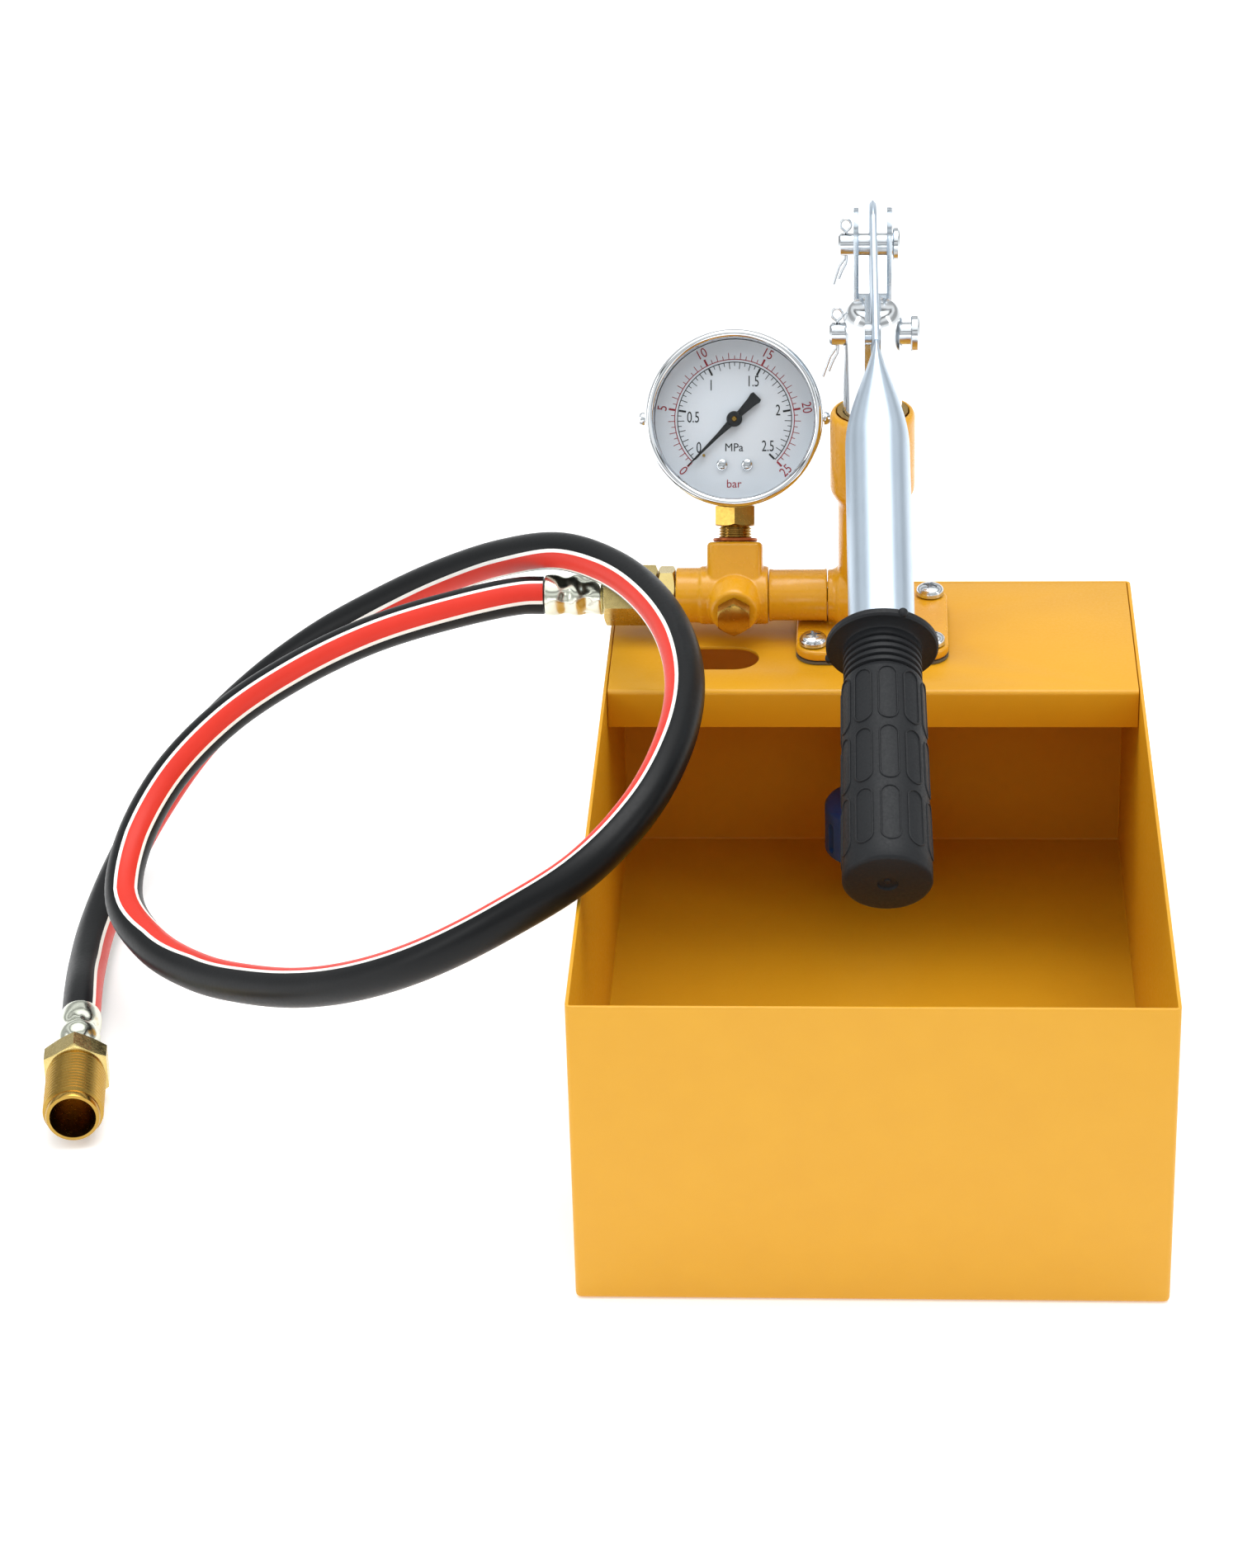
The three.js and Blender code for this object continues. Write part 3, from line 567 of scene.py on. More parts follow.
# ---- crimped ferrules and fittings of the hose ----
def ferrule(name, length, radius, where, node):
    """A pressed sleeve from z = 0 to length, squeezed in two bands of eight dents."""
    dent = radius - 0.9
    rings = [
        (4.2, 0.25), (radius - 0.6, 0), (radius, 0.6), (radius, length * 0.2), (radius - 0.2, length * 0.26),
        (dent, length * 0.34), (dent, length * 0.4), (radius, length * 0.48), (radius + 0.1, length * 0.54),
        (radius - 0.1, length * 0.6), (dent, length * 0.68), (dent, length * 0.76),
        (radius - 0.5, length * 0.84), (radius - 0.3, length * 0.9), (radius - 0.4, length - 0.4),
        (radius - 0.9, length), (4.2, length), (4.2, 0.25),
    ]
    piece = turned(name, rings, sides=64, hollow=True)
    choose(piece)
    bands = [(length * 0.3, length * 0.44), (length * 0.64, length * 0.8)]
    for vertex in piece.data.vertices:
        around = math.atan2(vertex.co.y, vertex.co.x)
        out = math.hypot(vertex.co.x, vertex.co.y)
        if out < 5 * MM:
            continue
        for number, (low, high) in enumerate(bands):
            if low * MM <= vertex.co.z <= high * MM:
                squeeze = 0.93 + 0.09 * math.cos(4 * around + number * math.pi / 2) ** 2
                vertex.co.x *= squeeze
                vertex.co.y *= squeeze
    apply_modifier(piece, "SUBSURF", levels=1, render_levels=1)
    put(piece, where)
    return ready(piece, "base", FERRULE_ZINC, [node])


pump_ferrule = ferrule(
    "pump_ferrule", 21.4, 7.6, OUTLET_AT @ frame_at(0, 0, 118.3, (180, "X")), "hose_ferrule"
)
far_ferrule = ferrule("far_ferrule", 28.7, 7.6, HOSE_END_AT @ frame_at(0, 0, 0.3), "end_ferrule")


def threaded(start, end, radius, pitch, depth):
    """Rings of a screw thread from start to end."""
    rings = []
    turns = int((end - start) / pitch)
    for i in range(turns):
        foot = start + i * pitch
        rings += [(radius - depth, foot + 0.1 * pitch), (radius, foot + 0.45 * pitch)]
        rings += [(radius, foot + 0.6 * pitch), (radius - depth, foot + 0.95 * pitch)]
    return rings


def make_far_fitting():
    nut = hexagon("far_nut", 21.6, 29.3, 38.5)
    thread = turned("far_thread", [
        (8.4, 36), (9.2, 38.6), *threaded(39.4, 64.4, 10.4, 1.814, 1.15), (9.3, 65.3), (9.0, 66), (7.9, 66),
        (7.75, 65.4), (7.75, 37), (8.4, 36),
    ], sides=72, hollow=True)
    floor = turned("far_floor", [(8.6, 35.4), (8.6, 36.9)], sides=48)
    bore = turned("far_bore", [(7.75, 36.9), (7.75, 70)], sides=72)
    combine(nut, [bore], "DIFFERENCE")
    put(thread, HOSE_END_AT)
    put(nut, HOSE_END_AT)
    put(floor, HOSE_END_AT)
    ready(nut, "base", GREEN_BRASS, ["end_fitting"])
    ready(thread, "base", TURNED_BRASS, smooth=25)
    ready(floor, "base", TURNED_BRASS)
    return nut, thread, floor


far_pieces = make_far_fitting()


# ---- tank and cover ----
def make_tank():
    choose(None)
    bpy.ops.mesh.primitive_cube_add(size=1, location=(0, 0, COVER_TOP / 2 * MM))
    tank = added("tank_shell", (TANK_WIDTH * MM, TANK_LENGTH * MM, COVER_TOP * MM))
    bpy.ops.object.mode_set(mode="EDIT")
    bpy.ops.mesh.select_all(action="DESELECT")
    bpy.ops.mesh.select_mode(type="FACE")
    bpy.ops.object.mode_set(mode="OBJECT")
    for face in tank.data.polygons:
        face.select = face.normal.z > 0.9
    bpy.ops.object.mode_set(mode="EDIT")
    bpy.ops.mesh.delete(type="FACE")
    bpy.ops.object.mode_set(mode="OBJECT")
    round_edges(tank, lambda way, mid: mid.z < COVER_TOP - 1, 1.8, 4)
    apply_modifier(tank, "SOLIDIFY", thickness=SHEET * MM, offset=-1)
    apply_modifier(tank, "BEVEL", width=0.3 * MM, segments=2, angle_limit=math.radians(60))
    ready(tank, "base", POWDER_COAT, ["tank_body"])


def make_cover():
    choose(None)
    bpy.ops.mesh.primitive_plane_add(size=1, location=(0, 105.75 * MM, COVER_TOP * MM))
    cover = added("cover_plate", (187 * MM, 87.5 * MM, 1))
    pick_edges(cover, lambda way, mid: mid.y < 63)
    bpy.ops.mesh.extrude_region_move(TRANSFORM_OT_translate={"value": (0, 0, -14.4 * MM)})
    bpy.ops.object.mode_set(mode="OBJECT")
    round_edges(cover, lambda way, mid: mid.y < 62.1 and mid.z > COVER_TOP - 0.1, 1.8, 5)
    apply_modifier(cover, "SOLIDIFY", thickness=SHEET * MM, offset=-1)
    slot = block("slot_cutter", (-70.5, 79, 105), (-40.5, 97, 115), corner=8.99)
    spigot = put(turned("spigot_cutter", [(11.5, -5), (11.5, 5)]), COLUMN_AT)
    combine(cover, [slot, spigot], "DIFFERENCE")
    apply_modifier(cover, "BEVEL", width=0.2 * MM, segments=2, angle_limit=math.radians(50))
    ready(cover, "base", POWDER_COAT, ["tank_cover"])


make_tank()
make_cover()


# ---- pump casting ----
LUG_Y = FULCRUM_Y - PUMP_Y
LUG_Z = LINK_Z - COVER_TOP


def make_pump_casting():
    foot = block("foot", (-27.25, -27, 1.4), (27.25, 27, 5.1), corner=8, edge=0.8)
    column = turned("column", [
        (10, -15), (10, 3), (15, 4), (14, 6.2), (12.9, 7.4), (12.15, 10), (12.15, 51.5), (12.6, 53),
        (14.4, 56), (15, 57.5), (15, 85), (14.4, 86.6), (12.5, 87.5),
    ], sides=72)
    boss = put(turned("boss", [
        (9.3, -16), (9.3, -14.5), (9.8, -13.4), (11, -12), (11, -6),
    ]), frame_at(0, 0, 14.8, (90, "Y")))
    arm = block("lug_arm", (-3, 12, 55), (3, LUG_Y, 69), edge=0.6)
    tip = put(turned("lug_tip", [(7, -3), (7, 3)]), frame_at(0, LUG_Y, LUG_Z) @ ALONG_X)
    combine(column, [foot, boss, arm, tip], "UNION")
    hole = put(turned("lug_hole", [(4.3, -4), (4.3, 4)]), frame_at(0, LUG_Y, LUG_Z) @ ALONG_X)
    well = turned("well", [(10.6, 45), (10.6, 62), (12.9, 62), (12.9, 95)])
    combine(column, [hole, well], "DIFFERENCE")
    cast(column, 0.5, 5)
    column.name = "pump_casting"
    put(column, COLUMN_AT)
    ready(column, "base", CASTING_PAINT, ["pump_body"], smooth=60)


def make_foot_screws():
    head = turned("screw_head_1", [
        (2.5, -9), (2.5, 5.4), (4.6, 5.4), (5, 5.7), (5, 6.9), (4.7, 7.8), (3.9, 8.5), (2.6, 8.95),
        (1.2, 9.1),
    ], sides=48)
    across = block("recess_a", (-2.7, -0.45, 7.2), (2.7, 0.45, 10))
    along = block("recess_b", (-0.45, -2.7, 7.2), (0.45, 2.7, 10))
    heart = turned("recess_c", [(0.5, 6.6), (1.3, 8), (1.5, 10)], sides=16)
    combine(head, [across, along, heart], "DIFFERENCE")
    for number, (x, y, turn) in enumerate([(-21, -20, 12), (21, -20, 38), (-21, 20, 5), (21, 20, 71)], 1):
        twin = copied(head, f"foot_screw_head_{number}")
        put(twin, COLUMN_AT @ frame_at(x, y, 0, (turn, "Z")))
        ready(twin, "base", SCREW_ZINC, [f"foot_screw_{number}"])
    bpy.data.objects.remove(head)


def make_outlet_pipe():
    pipe = turned("outlet_sleeve", [
        (9.3, 16.3), (9.6, 16.6), (9.3, 17.4), (9.2, 35.6), (9.5, 36.6), (9.3, 37.1), (4.8, 37.1),
        (4.8, 16.3), (9.3, 16.3),
    ], hollow=True)
    put(pipe, OUTLET_AT)
    ready(pipe, "base", CASTING_PAINT, ["outlet_pipe"])


def make_tee():
    barrel = turned("tee_casting", [
        (9.9, -21.2), (9.9, -13), (10.5, -12), (10.5, 11), (10.2, 12),
    ])
    put(barrel, ALONG_X)
    leaning = block("tee_block", (-10, -9, 0), (10, 9, 19), corner=2.6, edge=1.6)
    put(leaning, frame_at(0, 0, 0, (-GAUGE_LEAN, "X")))
    boss = turned("tee_boss", [(10.4, 2), (10.3, 8), (8.6, 13.6), (8.2, 14.4), (7.5, 14.8)])
    put(boss, frame_at(0, 0, 0, (90, "X")))
    combine(barrel, [leaning, boss], "UNION")
    cast(barrel, 0.35, 6)
    put(barrel, TEE_AT)
    ready(barrel, "base", CASTING_PAINT, ["manifold_block"], smooth=60)


def make_release_screw():
    screw = hexagon("release_screw", 11.3, 15.1, 20.9)
    shank = turned("release_shank", [(2, 5.5), (4, 8), (4, 16)], sides=32)
    combine(screw, [shank], "UNION")
    put(screw, VALVE_AT)
    ready(screw, "release_valve", TURNED_BRASS, ["release_valve_screw"])


make_pump_casting()
make_foot_screws()
make_outlet_pipe()
make_tee()
make_release_screw()


# ---- gauge ----
def make_stem():
    washer = turned("copper_washer", [
        (5.3, 19.3), (7.7, 19.3), (8, 19.6), (8, 20.2), (7.7, 20.5), (5.3, 20.5), (5.3, 19.3),
    ], hollow=True)
    put(washer, STEM_AT)
    ready(washer, "base", COPPER, ["gauge_washer"])
    stem = turned("stem_thread", [
        (4.9, 8), (4.9, 20), *threaded(20.4, 24.4, 6, 1.0, 0.7), (5.2, 24.6), (4.9, 45),
    ], sides=48)
    nut = hexagon("stem_hexagon", 14, 24.8, 32.4)
    bore = turned("stem_bore", [(4.8, 24), (4.8, 34)], sides=48)
    combine(nut, [bore], "DIFFERENCE")
    for piece, stands_for in ((stem, ["gauge_stem"]), (nut, [])):
        put(piece, STEM_AT)
        ready(piece, "base", TURNED_BRASS, stands_for, smooth=25)


def make_case():
    case = turned("case_cup", [
        (26, -10), (28.6, -9.9), (29.6, -9.2), (30, -8), (30, 14), (28.8, 14), (28.8, -7.8), (28.4, -8.7),
        (2, -8.8), (2, -10), (26, -10),
    ], sides=128, hollow=True)
    put(case, DIAL_AT)
    ready(case, "base", CHROME, ["gauge_case"])
    bezel = turned("bezel_ring", [
        (30.1, 9), (31.3, 9), (31.7, 9.5), (31.75, 10.4), (31.75, 15.6), (31.5, 16.6), (30.9, 17.3),
        (30.2, 17.5), (29.4, 17.3), (28.9, 16.8), (28.6, 16.1), (28.5, 15.7), (29.9, 15.7), (30.1, 15.6),
        (30.1, 9),
    ], sides=128, hollow=True)
    put(bezel, DIAL_AT)
    ready(bezel, "base", CHROME, ["gauge_bezel"], smooth=50)
    glass = turned("glass_window", [(30, 14.3), (30, 15.6)], sides=96)
    put(glass, DIAL_AT)
    ready(glass, "base", WINDOW_GLASS, ["gauge_glass"])
    for number, side in ((1, -1), (2, 1)):
        stud = turned(f"bezel_stud_{number}", [
            (1.2, 29.2), (1.2, 32.1), (2.3, 32.1), (2.4, 32.4), (2.4, 33), (2.0, 33.8), (1.2, 34.2),
        ], sides=32)
        slot = block("stud_slot", (-3, -0.3, 33.5), (3, 0.3, 35))
        combine(stud, [slot], "DIFFERENCE")
        put(stud, DIAL_AT @ frame_at(0, 0, 11.5, (side * 90, "Y")))
        ready(stud, "base", SCREW_ZINC, [f"bezel_screw_{number}"])


# The printing stands between these two heights, just off the dial.
PRINT_LOW = 8.62
PRINT_HIGH = 8.68
ZERO_ANGLE = 225
SWEEP = 270
DIVISIONS = 50


def scale_marks(name, marks, arc_radius, arc_width, material):
    """Marks of (angle, from radius, to radius, width) and one arc, as thin printed bars."""
    choose(None)
    rings = [
        (arc_radius, PRINT_LOW), (arc_radius + arc_width, PRINT_LOW), (arc_radius + arc_width, PRINT_HIGH),
        (arc_radius, PRINT_HIGH), (arc_radius, PRINT_LOW),
    ]
    piece = turned(name, rings, sides=160, hollow=True)
    gap = block("arc_gap", (0, 0, PRINT_LOW - 1), (30, 30, PRINT_HIGH + 1))
    put(gap, frame_at(0, 0, 0, (ZERO_ANGLE, "Z")))
    combine(piece, [gap], "DIFFERENCE")
    choose(piece)
    bpy.ops.object.mode_set(mode="EDIT")
    for angle, near, far, width in marks:
        middle = (near + far) / 2 * MM
        turn = math.radians(angle)
        bpy.ops.mesh.primitive_cube_add(
            size=1,
            location=(middle * math.cos(turn), middle * math.sin(turn), (PRINT_LOW + PRINT_HIGH) / 2 * MM),
            rotation=(0, 0, turn),
            scale=((far - near) * MM, width * MM, (PRINT_HIGH - PRINT_LOW) * MM),
        )
    bpy.ops.object.mode_set(mode="OBJECT")
    put(piece, DIAL_AT)
    ready(piece, "base", material, smooth=0)


def lettering(name, text, x, y, height, narrow, turn, material):
    """Printed figures of one height, centred on a point of the dial."""
    curve = bpy.data.curves.new(name, "FONT")
    curve.body = text
    curve.size = height / 0.7 * MM
    curve.align_x = "CENTER"
    curve.align_y = "CENTER"
    curve.extrude = (PRINT_HIGH - PRINT_LOW) / 2 * MM
    piece = bpy.data.objects.new(name, curve)
    bpy.context.collection.objects.link(piece)
    choose(piece)
    bpy.ops.object.convert(target="MESH")
    cleaned(piece)
    squeeze = Matrix.Diagonal((narrow, 1, 1, 1))
    put(piece, DIAL_AT @ frame_at(x, y, (PRINT_LOW + PRINT_HIGH) / 2, (turn, "Z")) @ squeeze)
    ready(piece, "base", material, smooth=0)


def make_dial():
    dial = turned("dial_plate", [(28.6, 8), (28.6, 8.55), (28.5, 8.6)], sides=128)
    hole = turned("dial_hole", [(1.6, 7), (1.6, 10)], sides=32)
    combine(dial, [hole], "DIFFERENCE")
    put(dial, DIAL_AT)
    ready(dial, "base", DIAL_ENAMEL, ["gauge_dial"])
    outer = []
    inner = []
    for i in range(DIVISIONS + 1):
        angle = ZERO_ANGLE - SWEEP * i / DIVISIONS
        if i % 10 == 0:
            outer.append((angle, 21.6, 23.9, 0.7))
            inner.append((angle, 17.6, 20.2, 0.7))
        elif i % 2 == 0:
            outer.append((angle, 21.5, 23.8, 0.24))
            inner.append((angle, 18.0, 20.5, 0.24))
        else:
            outer.append((angle, 21.5, 22.8, 0.24))
            inner.append((angle, 19.1, 20.5, 0.24))
    scale_marks("outer_scale", outer, 21.3, 0.3, PRINT_RED)
    scale_marks("inner_scale", inner, 20.3, 0.3, PRINT_BLACK)
    for number in range(6):
        angle = ZERO_ANGLE - SWEEP * number / 5
        way = math.radians(angle)
        upright = angle - 90 if -20 < angle < 200 else angle + 90
        lettering(
            f"outer_figure_{number}", str(number * 5), 26.1 * math.cos(way), 26.1 * math.sin(way),
            3.4, 0.85, upright, PRINT_RED,
        )
    inner_places = [(-12.8, -10.3), (-14.8, 0.6), (-8.4, 12), (6.6, 13.4), (15.6, 3.0), (12, -9.8)]
    for number, (x, y) in enumerate(inner_places):
        text = f"{number * 0.5:g}"
        lettering(f"inner_figure_{number}", text, x, y, 3.9, 0.68, 0, PRINT_BLACK)
    lettering("upper_unit", "MPa", -0.2, -10.2, 2.9, 0.95, 0, PRINT_BLACK)
    lettering("lower_unit", "bar", -0.2, -23.2, 2.9, 1.0, 0, PRINT_RED)
    for number, x in ((1, -4.5), (2, 4.5)):
        screw = turned(f"dial_screw_head_{number}", [
            (0.9, 5.6), (0.9, 8.9), (1.9, 8.9), (2, 9.2), (1.9, 9.7), (1.4, 10.1), (0.6, 10.3),
        ], sides=32)
        across = block("dial_recess_a", (-1.1, -0.22, 9.7), (1.1, 0.22, 11))
        along = block("dial_recess_b", (-0.22, -1.1, 9.7), (0.22, 1.1, 11))
        combine(screw, [across, along], "DIFFERENCE")
        put(screw, DIAL_AT @ frame_at(x, -16.3, 0, (20 * number, "Z")))
        ready(screw, "base", SCREW_ZINC, [f"dial_screw_{number}"])
    stop = turned("stop_pin", [(0.5, 8.9), (0.5, 11.3), (0.35, 11.5)], sides=16)
    angle = math.radians(ZERO_ANGLE + 5)
    put(stop, DIAL_AT @ frame_at(17 * math.cos(angle), 17 * math.sin(angle), 0))
    ready(stop, "base", TURNED_BRASS, ["needle_stop"])


def make_needle():
    """A pressed strip: fine point, hub and a paddle at the other end."""
    choose(None)
    bpy.ops.mesh.primitive_plane_add(size=1, location=(0, 0, 10 * MM))
    needle = added("needle_pointer", (6 * MM, 2.4 * MM, 1))
    tail = [(-8.6, 3.6), (-10.6, 4.6), (-11.6, 3.8)]
    point = [(8, 1.5), (23.6, 0.35)]
    for here, steps in ((-3, tail), (3, point)):
        pick_edges(needle, lambda way, mid: abs(mid.x - here) < 0.001)
        wide = 2.4
        for x, width in steps:
            bpy.ops.mesh.extrude_region_move(TRANSFORM_OT_translate={"value": ((x - here) * MM, 0, 0)})
            bpy.ops.transform.resize(value=(1, width / wide, 1), center_override=(x * MM, 0, 10 * MM))
            here, wide = x, width
        bpy.ops.object.mode_set(mode="OBJECT")
    apply_modifier(needle, "SOLIDIFY", thickness=0.5 * MM, offset=1)
    hub = turned("needle_hub", [
        (2.8, 9.7), (2.8, 11.3), (2.4, 11.8), (1.3, 11.9), (1.3, 11.5), (0.3, 11.5),
    ], sides=48)
    pin = turned("needle_arbor", [(1.0, 9.0), (1.0, 11.9), (0.7, 12.3), (0.2, 12.4)], sides=24)
    turn = frame_at(0, 0, 0, (ZERO_ANGLE, "Z"))
    for piece in (needle, hub, pin):
        put(piece, DIAL_AT @ turn)
    ready(needle, "needle", NEEDLE_BLACK, ["gauge_needle"])
    ready(hub, "needle", NEEDLE_BLACK)
    ready(pin, "needle", TURNED_BRASS)


make_stem()
make_case()
make_dial()
make_needle()


# ---- union ----
def make_union():
    nipple = hexagon("nipple_hexagon", 19, 70.9, 77)
    tail = turned("nipple_tail", [
        (4.7, 63.6), (4.7, 71.5), (6.8, 76), *threaded(77.2, 88, 6.8, 1.2, 0.7), (6.1, 88.6), (5.6, 89),
    ], sides=40)
    combine(nipple, [tail], "UNION")
    put(nipple, OUTLET_AT @ frame_at(0, 0, 0, (12, "Z")))
    ready(nipple, "base", GREEN_BRASS, ["outlet_nipple"])
    nut = hexagon("union_hexagon", 19, 77.3, 96.6)
    inside = turned("union_thread", [(7.2, 76), (7.2, 93.6), (5.4, 94), (5.4, 98)], sides=40)
    combine(nut, [inside], "DIFFERENCE")
    put(nut, OUTLET_AT)
    ready(nut, "union_nut", GREEN_BRASS, ["union_nut"])
    tube = turned("union_tail", [
        (3, 90), (4.9, 90), (4.9, 97.4), (3, 97.4), (3, 90),
    ], sides=32, hollow=True)
    put(tube, OUTLET_AT)
    ready(tube, "base", FERRULE_ZINC)


make_union()


# ---- plunger, pins and link ----
def make_plunger():
    rod = turned("plunger_bar", [
        (10, 22.6), (10.3, 23), (10.3, 122), (9.9, 123.6), (8.9, 125.6), (7.9, 126.6), (7, 127),
    ], sides=96)
    mouth = block("plunger_mouth", (-2.7, -12, 89), (2.7, 12, 130))
    hole = put(turned("plunger_hole", [(4.3, -12), (4.3, 12)]), frame_at(0, 0, 116) @ ALONG_X)
    combine(rod, [mouth, hole], "DIFFERENCE")
    apply_modifier(rod, "BEVEL", width=0.25 * MM, segments=2, angle_limit=math.radians(50))
    put(rod, COLUMN_AT)
    ready(rod, "plunger", GROUND_STEEL, ["plunger"])


def make_pin(name, left, right, head, length, where, body, node):
    """A clevis pin from left to right, drilled near its end, with a head of this radius and length."""
    pin = turned(name, [
        (3.2, left), (4, left + 0.8), (4, right), (head - 0.4, right), (head, right + 0.4),
        (head, right + length - 0.7), (head - 0.9, right + length),
    ], sides=48)
    hole = put(turned("cross_hole", [(1.1, -6), (1.1, 6)], sides=16), frame_at(0, 0, left + 2.6) @ ALONG_X)
    combine(pin, [hole], "DIFFERENCE")
    put(pin, where @ ALONG_X)
    ready(pin, body, SCREW_ZINC, [node])


def make_split_pin(name, left, reach, where, body, node):
    """Two wires that part below the clevis pin, with a closed eye above it."""
    x = left + 2.6
    eye = []
    for step in range(13):
        angle = math.radians(-60 + 300 * step / 12)
        eye.append((x + 1.9 * math.cos(angle), 0, 7.4 + 2.1 * math.sin(angle)))
    eye.reverse()
    left_leg = [
        (x - 0.35, 0, 4.6), (x - 0.35, 0, -5.2), (x - 1.2, 0, -6.6), (x - 2.4, 0, -8.4),
        (x - reach * 0.62, 0, -8 - reach),
    ]
    right_leg = [
        (x + 0.35, 0, 4.6), (x + 0.35, 0, -5.4), (x, 0, -7.4), (x - 1.4, 0, -10),
        (x - reach * 0.36, 0, -6 - reach),
    ]
    piece = wire(name, [[*reversed(right_leg), *eye, *left_leg]], 0.5)
    put(piece, where)
    ready(piece, body, SCREW_ZINC, [node], smooth=60)


LINK_LENGTH = FULCRUM_Z - LINK_Z


def make_link():
    """A channel folded from sheet, with rounded ends on its two cheeks."""
    outside = block("link_channel", (-6.8, -7.6, -9), (6.8, 10.4, 84.6), corner=8.97, axis=0)
    inside = block("link_inside", (-5, -20, -20), (5, 8.6, 100))
    above = block("link_above", (-5, 0, 49), (5, 20, 100))
    below = block("link_below", (-5, 0, -20), (5, 20, 0))
    combine(outside, [inside, above, below], "DIFFERENCE")
    for height in (0, LINK_LENGTH):
        hole = put(turned("link_hole", [(4.3, -9), (4.3, 9)], sides=48), frame_at(0, 0, height) @ ALONG_X)
        combine(outside, [hole], "DIFFERENCE")
    apply_modifier(outside, "BEVEL", width=0.3 * MM, segments=2, angle_limit=math.radians(50))
    put(outside, LINK_AT)
    ready(outside, "link", PLATED_ZINC, ["link"])


make_plunger()
make_pin("plunger_clevis", -15, 13.3, 6.2, 3, PLUNGER_PIN_AT, "plunger", "plunger_pin")
make_pin("link_clevis", -12.2, 7.1, 5.8, 2.5, LINK_AT, "base", "link_pin")
make_pin("fulcrum_clevis", -12.2, 7.1, 5.8, 2.5, FULCRUM_AT, "link", "fulcrum_pin")
make_split_pin("plunger_split_wire", -15, 8, PLUNGER_PIN_AT, "plunger", "plunger_split_pin")
make_split_pin("link_split_wire", -12.2, 6, LINK_AT, "base", "link_split_pin")
make_split_pin("fulcrum_split_wire", -12.2, 7, FULCRUM_AT, "link", "fulcrum_split_pin")
make_link()


# ---- handle ----
def make_lever():
    """A round tube pressed flat at its rear end."""
    choose(None)
    bpy.ops.mesh.primitive_circle_add(
        vertices=96, radius=11 * MM, fill_type="NGON", location=(0, 0, 277 * MM)
    )
    lever = added("lever_tube")
    bpy.ops.object.mode_set(mode="EDIT")
    bpy.ops.mesh.select_all(action="SELECT")
    stations = [(97, 11, 11)]
    for step in range(1, 13):
        share = 1 - step / 12
        eased = math.sin(share * math.pi / 2)
        stations.append((61 + 36 * share, 1.15 + 9.85 * eased, 17 - 6 * share))
    z, half_x, half_y = 277, 11, 11
    for next_z, next_x, next_y in stations:
        bpy.ops.mesh.extrude_region_move(TRANSFORM_OT_translate={"value": (0, 0, (next_z - z) * MM)})
        bpy.ops.transform.resize(
            value=(next_x / half_x, next_y / half_y, 1), center_override=(0, 0, next_z * MM)
        )
        z, half_x, half_y = next_z, next_x, next_y
    cleaned(lever)
    bore = turned("lever_bore", [(9, 99), (9, 280)])
    combine(lever, [bore], "DIFFERENCE")
    blade = block("lever_blade", (-1.2, -17, 2), (1.2, 17, 62), corner=1.1, axis=2)
    rear = turned("lever_rear", [(15.9, -1.2), (17, -0.2), (17, 0.2), (15.9, 1.2)], sides=96)
    put(rear, frame_at(0, 0, 2) @ ALONG_X)
    combine(blade, [rear], "UNION")
    pin_hole = put(turned("pin_hole", [(4.3, -4), (4.3, 4)], sides=48), ALONG_X)
    slot = block("lift_slot", (-4, -4.65, 35.15), (4, 4.65, 48.65), corner=4.6, axis=0)
    combine(blade, [pin_hole, slot], "DIFFERENCE")
    combine(lever, [blade], "UNION")
    put(lever, HANDLE_AT)
    ready(lever, "handle", TUBE_ZINC, ["handle_tube"], smooth=30)


GRIP_START = 182.4
GRIP_END = 280.4


def grip_radius(z):
    """The grip's taper over its padded length."""
    return 13.5 + (z - 202) / 78 * 0.9


def make_grip():
    z = GRIP_START
    profile = [
        (11.3, z), (17.9, z), (18.5, z + 0.7), (18.5, z + 2.3), (17.9, z + 3), (13.6, z + 3.2),
        (12.9, z + 3.8), (12.9, z + 5),
    ]
    for groove in range(5):
        foot = z + 5 + groove * 2.7
        profile += [(12.9, foot + 1.1), (12.0, foot + 1.5), (12.0, foot + 2.2), (12.9, foot + 2.6)]
    end = GRIP_END
    profile += [
        (13.2, z + 19), (13.5, z + 20), (14.4, end - 6), (14.4, end - 1.2), (13.9, end - 0.4), (13.0, end),
        (3.4, end), (3.0, end - 0.8), (0.6, end - 1.2), (0.6, end - 2.6), (11.3, end - 2.6), (11.3, z),
    ]
    grip = turned("grip_sleeve", profile, sides=96, hollow=True)
    cap = turned("grip_plug", [(1.2, end - 2.2), (1.2, end - 1.0), (0.8, end - 0.7)], sides=24)
    put(grip, HANDLE_AT)
    put(cap, HANDLE_AT)
    ready(grip, "handle", GRIP_RUBBER, ["grip"], smooth=40)
    ready(cap, "handle", GRIP_RUBBER)
    for number, angle in ((1, 69), (2, 200)):
        nib = turned(f"grip_nib_{number}", [(1.6, 0), (1.6, 0.9), (1.3, 1.4), (0.7, 1.7)], sides=24)
        way = math.radians(angle)
        x, y = 18.0 * math.cos(way), 18.0 * math.sin(way)
        put(nib, HANDLE_AT @ frame_at(x, y, GRIP_START + 1.5, (angle, "Z"), (90, "Y")))
        ready(nib, "handle", GRIP_RUBBER)


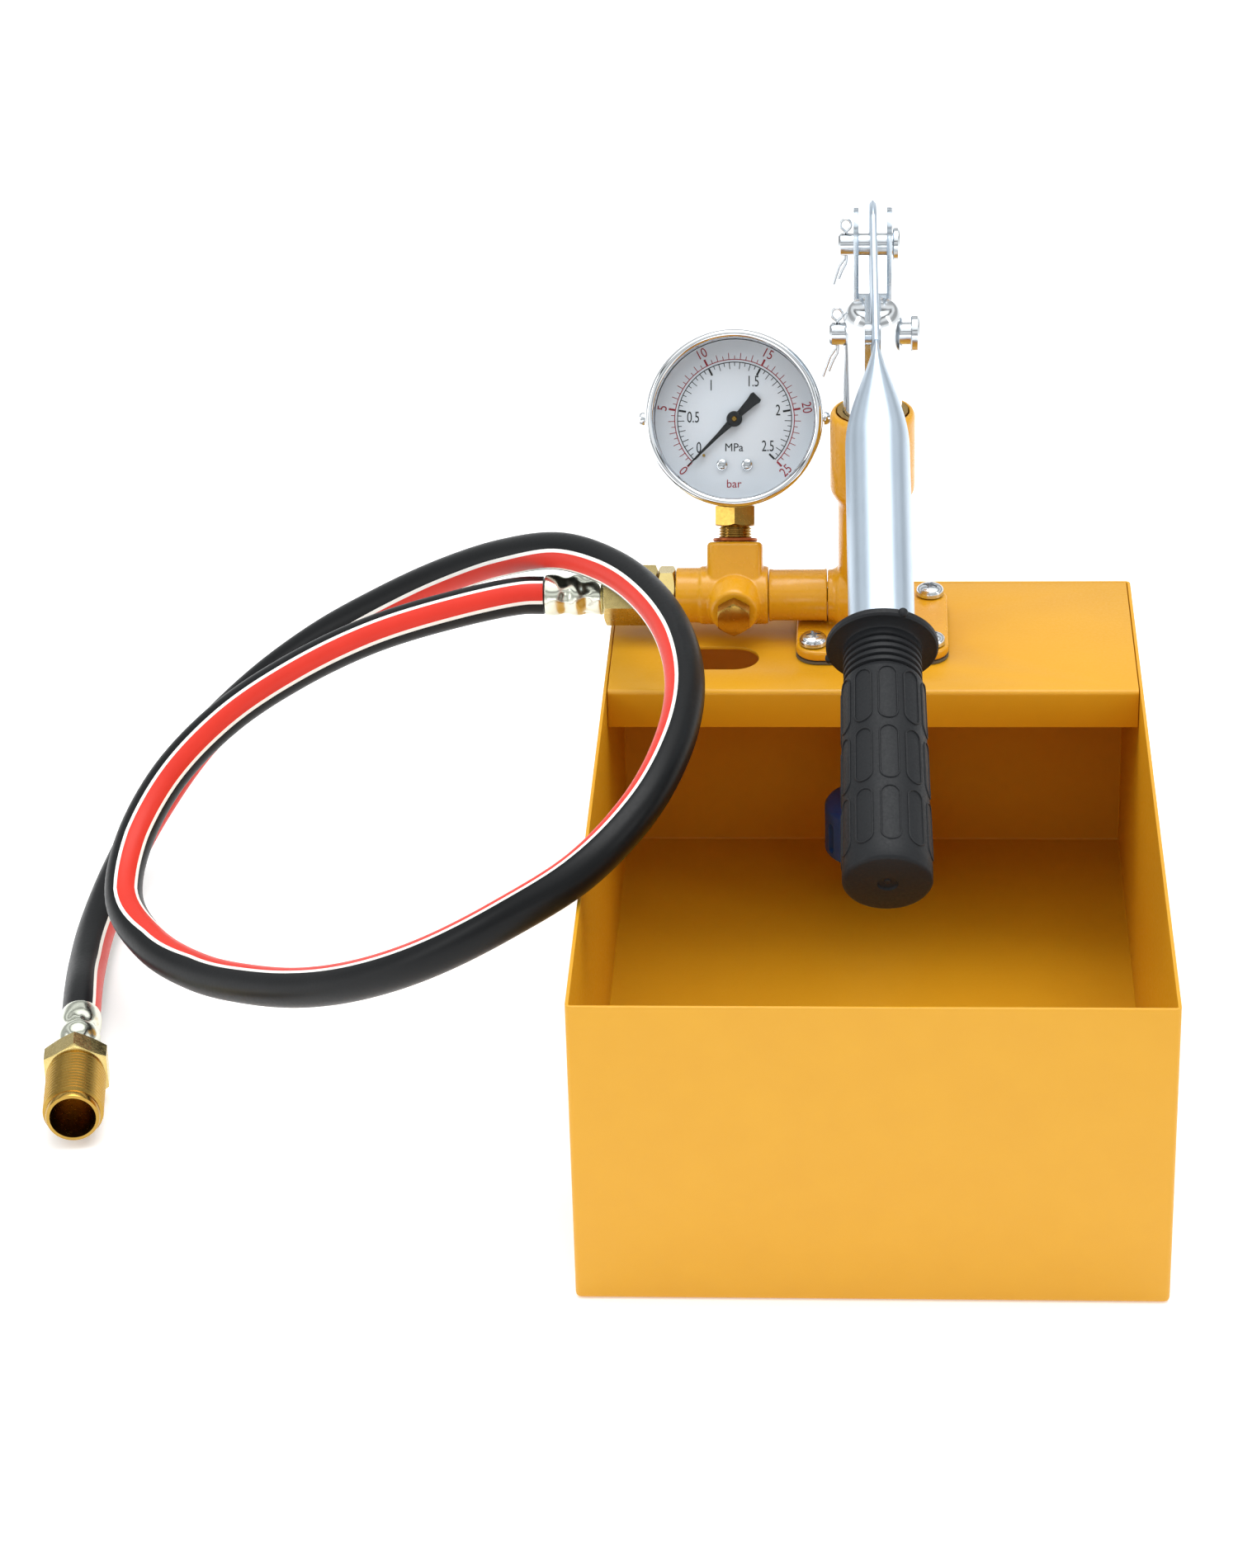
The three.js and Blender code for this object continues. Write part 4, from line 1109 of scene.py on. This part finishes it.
def make_grip_pads():
    """Raised outlines of oblong pads, three rows of ten round the grip."""
    half_width = 3.1
    half_length = 10.6
    columns = 10
    outlines = []
    for row in range(3):
        middle = 213.6 + row * 24.4
        for column in range(columns):
            centre = math.radians(90 - 5 + 360 / columns * column)
            outline = []
            for step in range(32):
                angle = 2 * math.pi * step / 32
                end = 1 if math.sin(angle) >= 0 else -1
                z = middle + end * (half_length - half_width) + half_width * math.sin(angle)
                out = grip_radius(z) + 0.08
                around = centre + half_width * math.cos(angle) / out
                outline.append((out * math.cos(around), out * math.sin(around), z))
            outlines.append(outline)
    pads = wire("grip_pad_outlines", outlines, 0.32, closed=True, resolution=2)
    put(pads, HANDLE_AT)
    ready(pads, "handle", GRIP_RUBBER, smooth=60)


make_lever()
make_grip()
make_grip_pads()


# ---- strainer under the cover ----
def make_strainer():
    strainer = turned("strainer_cap", [
        (7.4, -72), (15.5, -72.2), (15.5, -89), (17.2, -89), (17.5, -88.6), (17.5, -71.4), (16.8, -70.4),
        (15.8, -70), (7.4, -70), (7.4, -72),
    ], sides=72, hollow=True)
    notches = []
    for number in range(12):
        notch = block(f"notch_{number}", (13, -1.6, -87), (20, 1.6, -75), corner=1.2, axis=0)
        notches.append(put(notch, frame_at(0, 0, 0, (30 * number, "Z"))))
    combine(strainer, notches, "DIFFERENCE")
    put(strainer, COLUMN_AT)
    ready(strainer, "base", BLUE_PLASTIC, ["strainer"])


make_strainer()

# ---- pieces of the frame that stay as they are ----
KEPT_FINISHES = {
    FIBRE: ["foot_gasket"],
    SCREW_ZINC: ["foot_nut_1", "foot_nut_2", "foot_nut_3", "foot_nut_4"],
    SEAL_RUBBER: ["packing_ring", "plunger_seal"],
    TURNED_BRASS: ["guide_bush", "delivery_stop", "bourdon_tube", "gauge_movement"],
    GROUND_STEEL: ["suction_ball", "delivery_ball", "suction_tube"],
}
for material, names in KEPT_FINISHES.items():
    for name in names:
        node = NODES[name]
        if node.material_slots:
            for place in node.material_slots:
                place.material = material
        else:
            node.data.materials.append(material)

# ---- floor and light ----
choose(None)
bpy.ops.mesh.primitive_plane_add(size=12, location=(0, 3, -0.0002))
floor = bpy.context.active_object
floor.name = "floor"
paper = bpy.data.materials.new("matt_white_paper")
paper.use_nodes = True
paper_shader = paper.node_tree.nodes["Principled BSDF"]
paper_shader.inputs["Base Color"].default_value = linear("#F4F4F4")
paper_shader.inputs["Roughness"].default_value = 0.95
paper_shader.inputs["Emission Color"].default_value = (1, 1, 1, 1)
paper_shader.inputs["Emission Strength"].default_value = 0.3
floor.data.materials.append(paper)


def soft_light(name, place, target, size, power):
    """A rectangular light of this size and power, turned to its target."""
    data = bpy.data.lights.new(name, "AREA")
    data.shape = "RECTANGLE"
    data.size, data.size_y = size
    data.energy = power
    lamp = bpy.data.objects.new(name, data)
    bpy.context.collection.objects.link(lamp)
    lamp.location = place
    lamp.rotation_euler = (Vector(target) - Vector(place)).to_track_quat("-Z", "Y").to_euler()


soft_light("top_box", (0.1, 0.2, 1.9), (0, 0, 0.1), (1.6, 1.0), 20)
soft_light("left_box", (-1.9, -0.7, 1.0), (0, 0, 0.15), (0.5, 1.5), 8)
soft_light("right_box", (1.9, -0.5, 0.9), (0, 0, 0.15), (0.3, 1.5), 5)
soft_light("front_box", (-0.3, -2.6, 0.35), (0, 0.1, 0.15), (1.6, 0.4), 3.5)

# The room: a white tent with two dark gaps, which give the plated parts their dark edges.
world = bpy.context.scene.world or bpy.data.worlds.new("studio")
bpy.context.scene.world = world
world.use_nodes = True
direction = add_node(world, "ShaderNodeTexCoord")
height = add_node(world, "ShaderNodeSeparateXYZ", inputs={0: (direction, "Generated")})
tent = add_node(world, "ShaderNodeValToRGB", inputs={0: (height, 2)})
TENT = [
    (0.0, 1.0), (0.08, 1.0), (0.15, 0.4), (0.36, 0.4), (0.46, 1.0), (0.58, 1.0), (0.62, 0.15), (0.7, 0.15),
    (0.76, 1.3),
]
stops = tent.color_ramp.elements
for number, (position, level) in enumerate(TENT):
    stop = stops[number] if number < 2 else stops.new(position)
    stop.position = position
    stop.color = (level * 0.97, level * 0.99, level, 1)
background = world.node_tree.nodes["Background"]
world.node_tree.links.new(tent.outputs[0], background.inputs["Color"])
background.inputs["Strength"].default_value = 1.1
bpy.context.scene.view_settings.view_transform = "Standard"
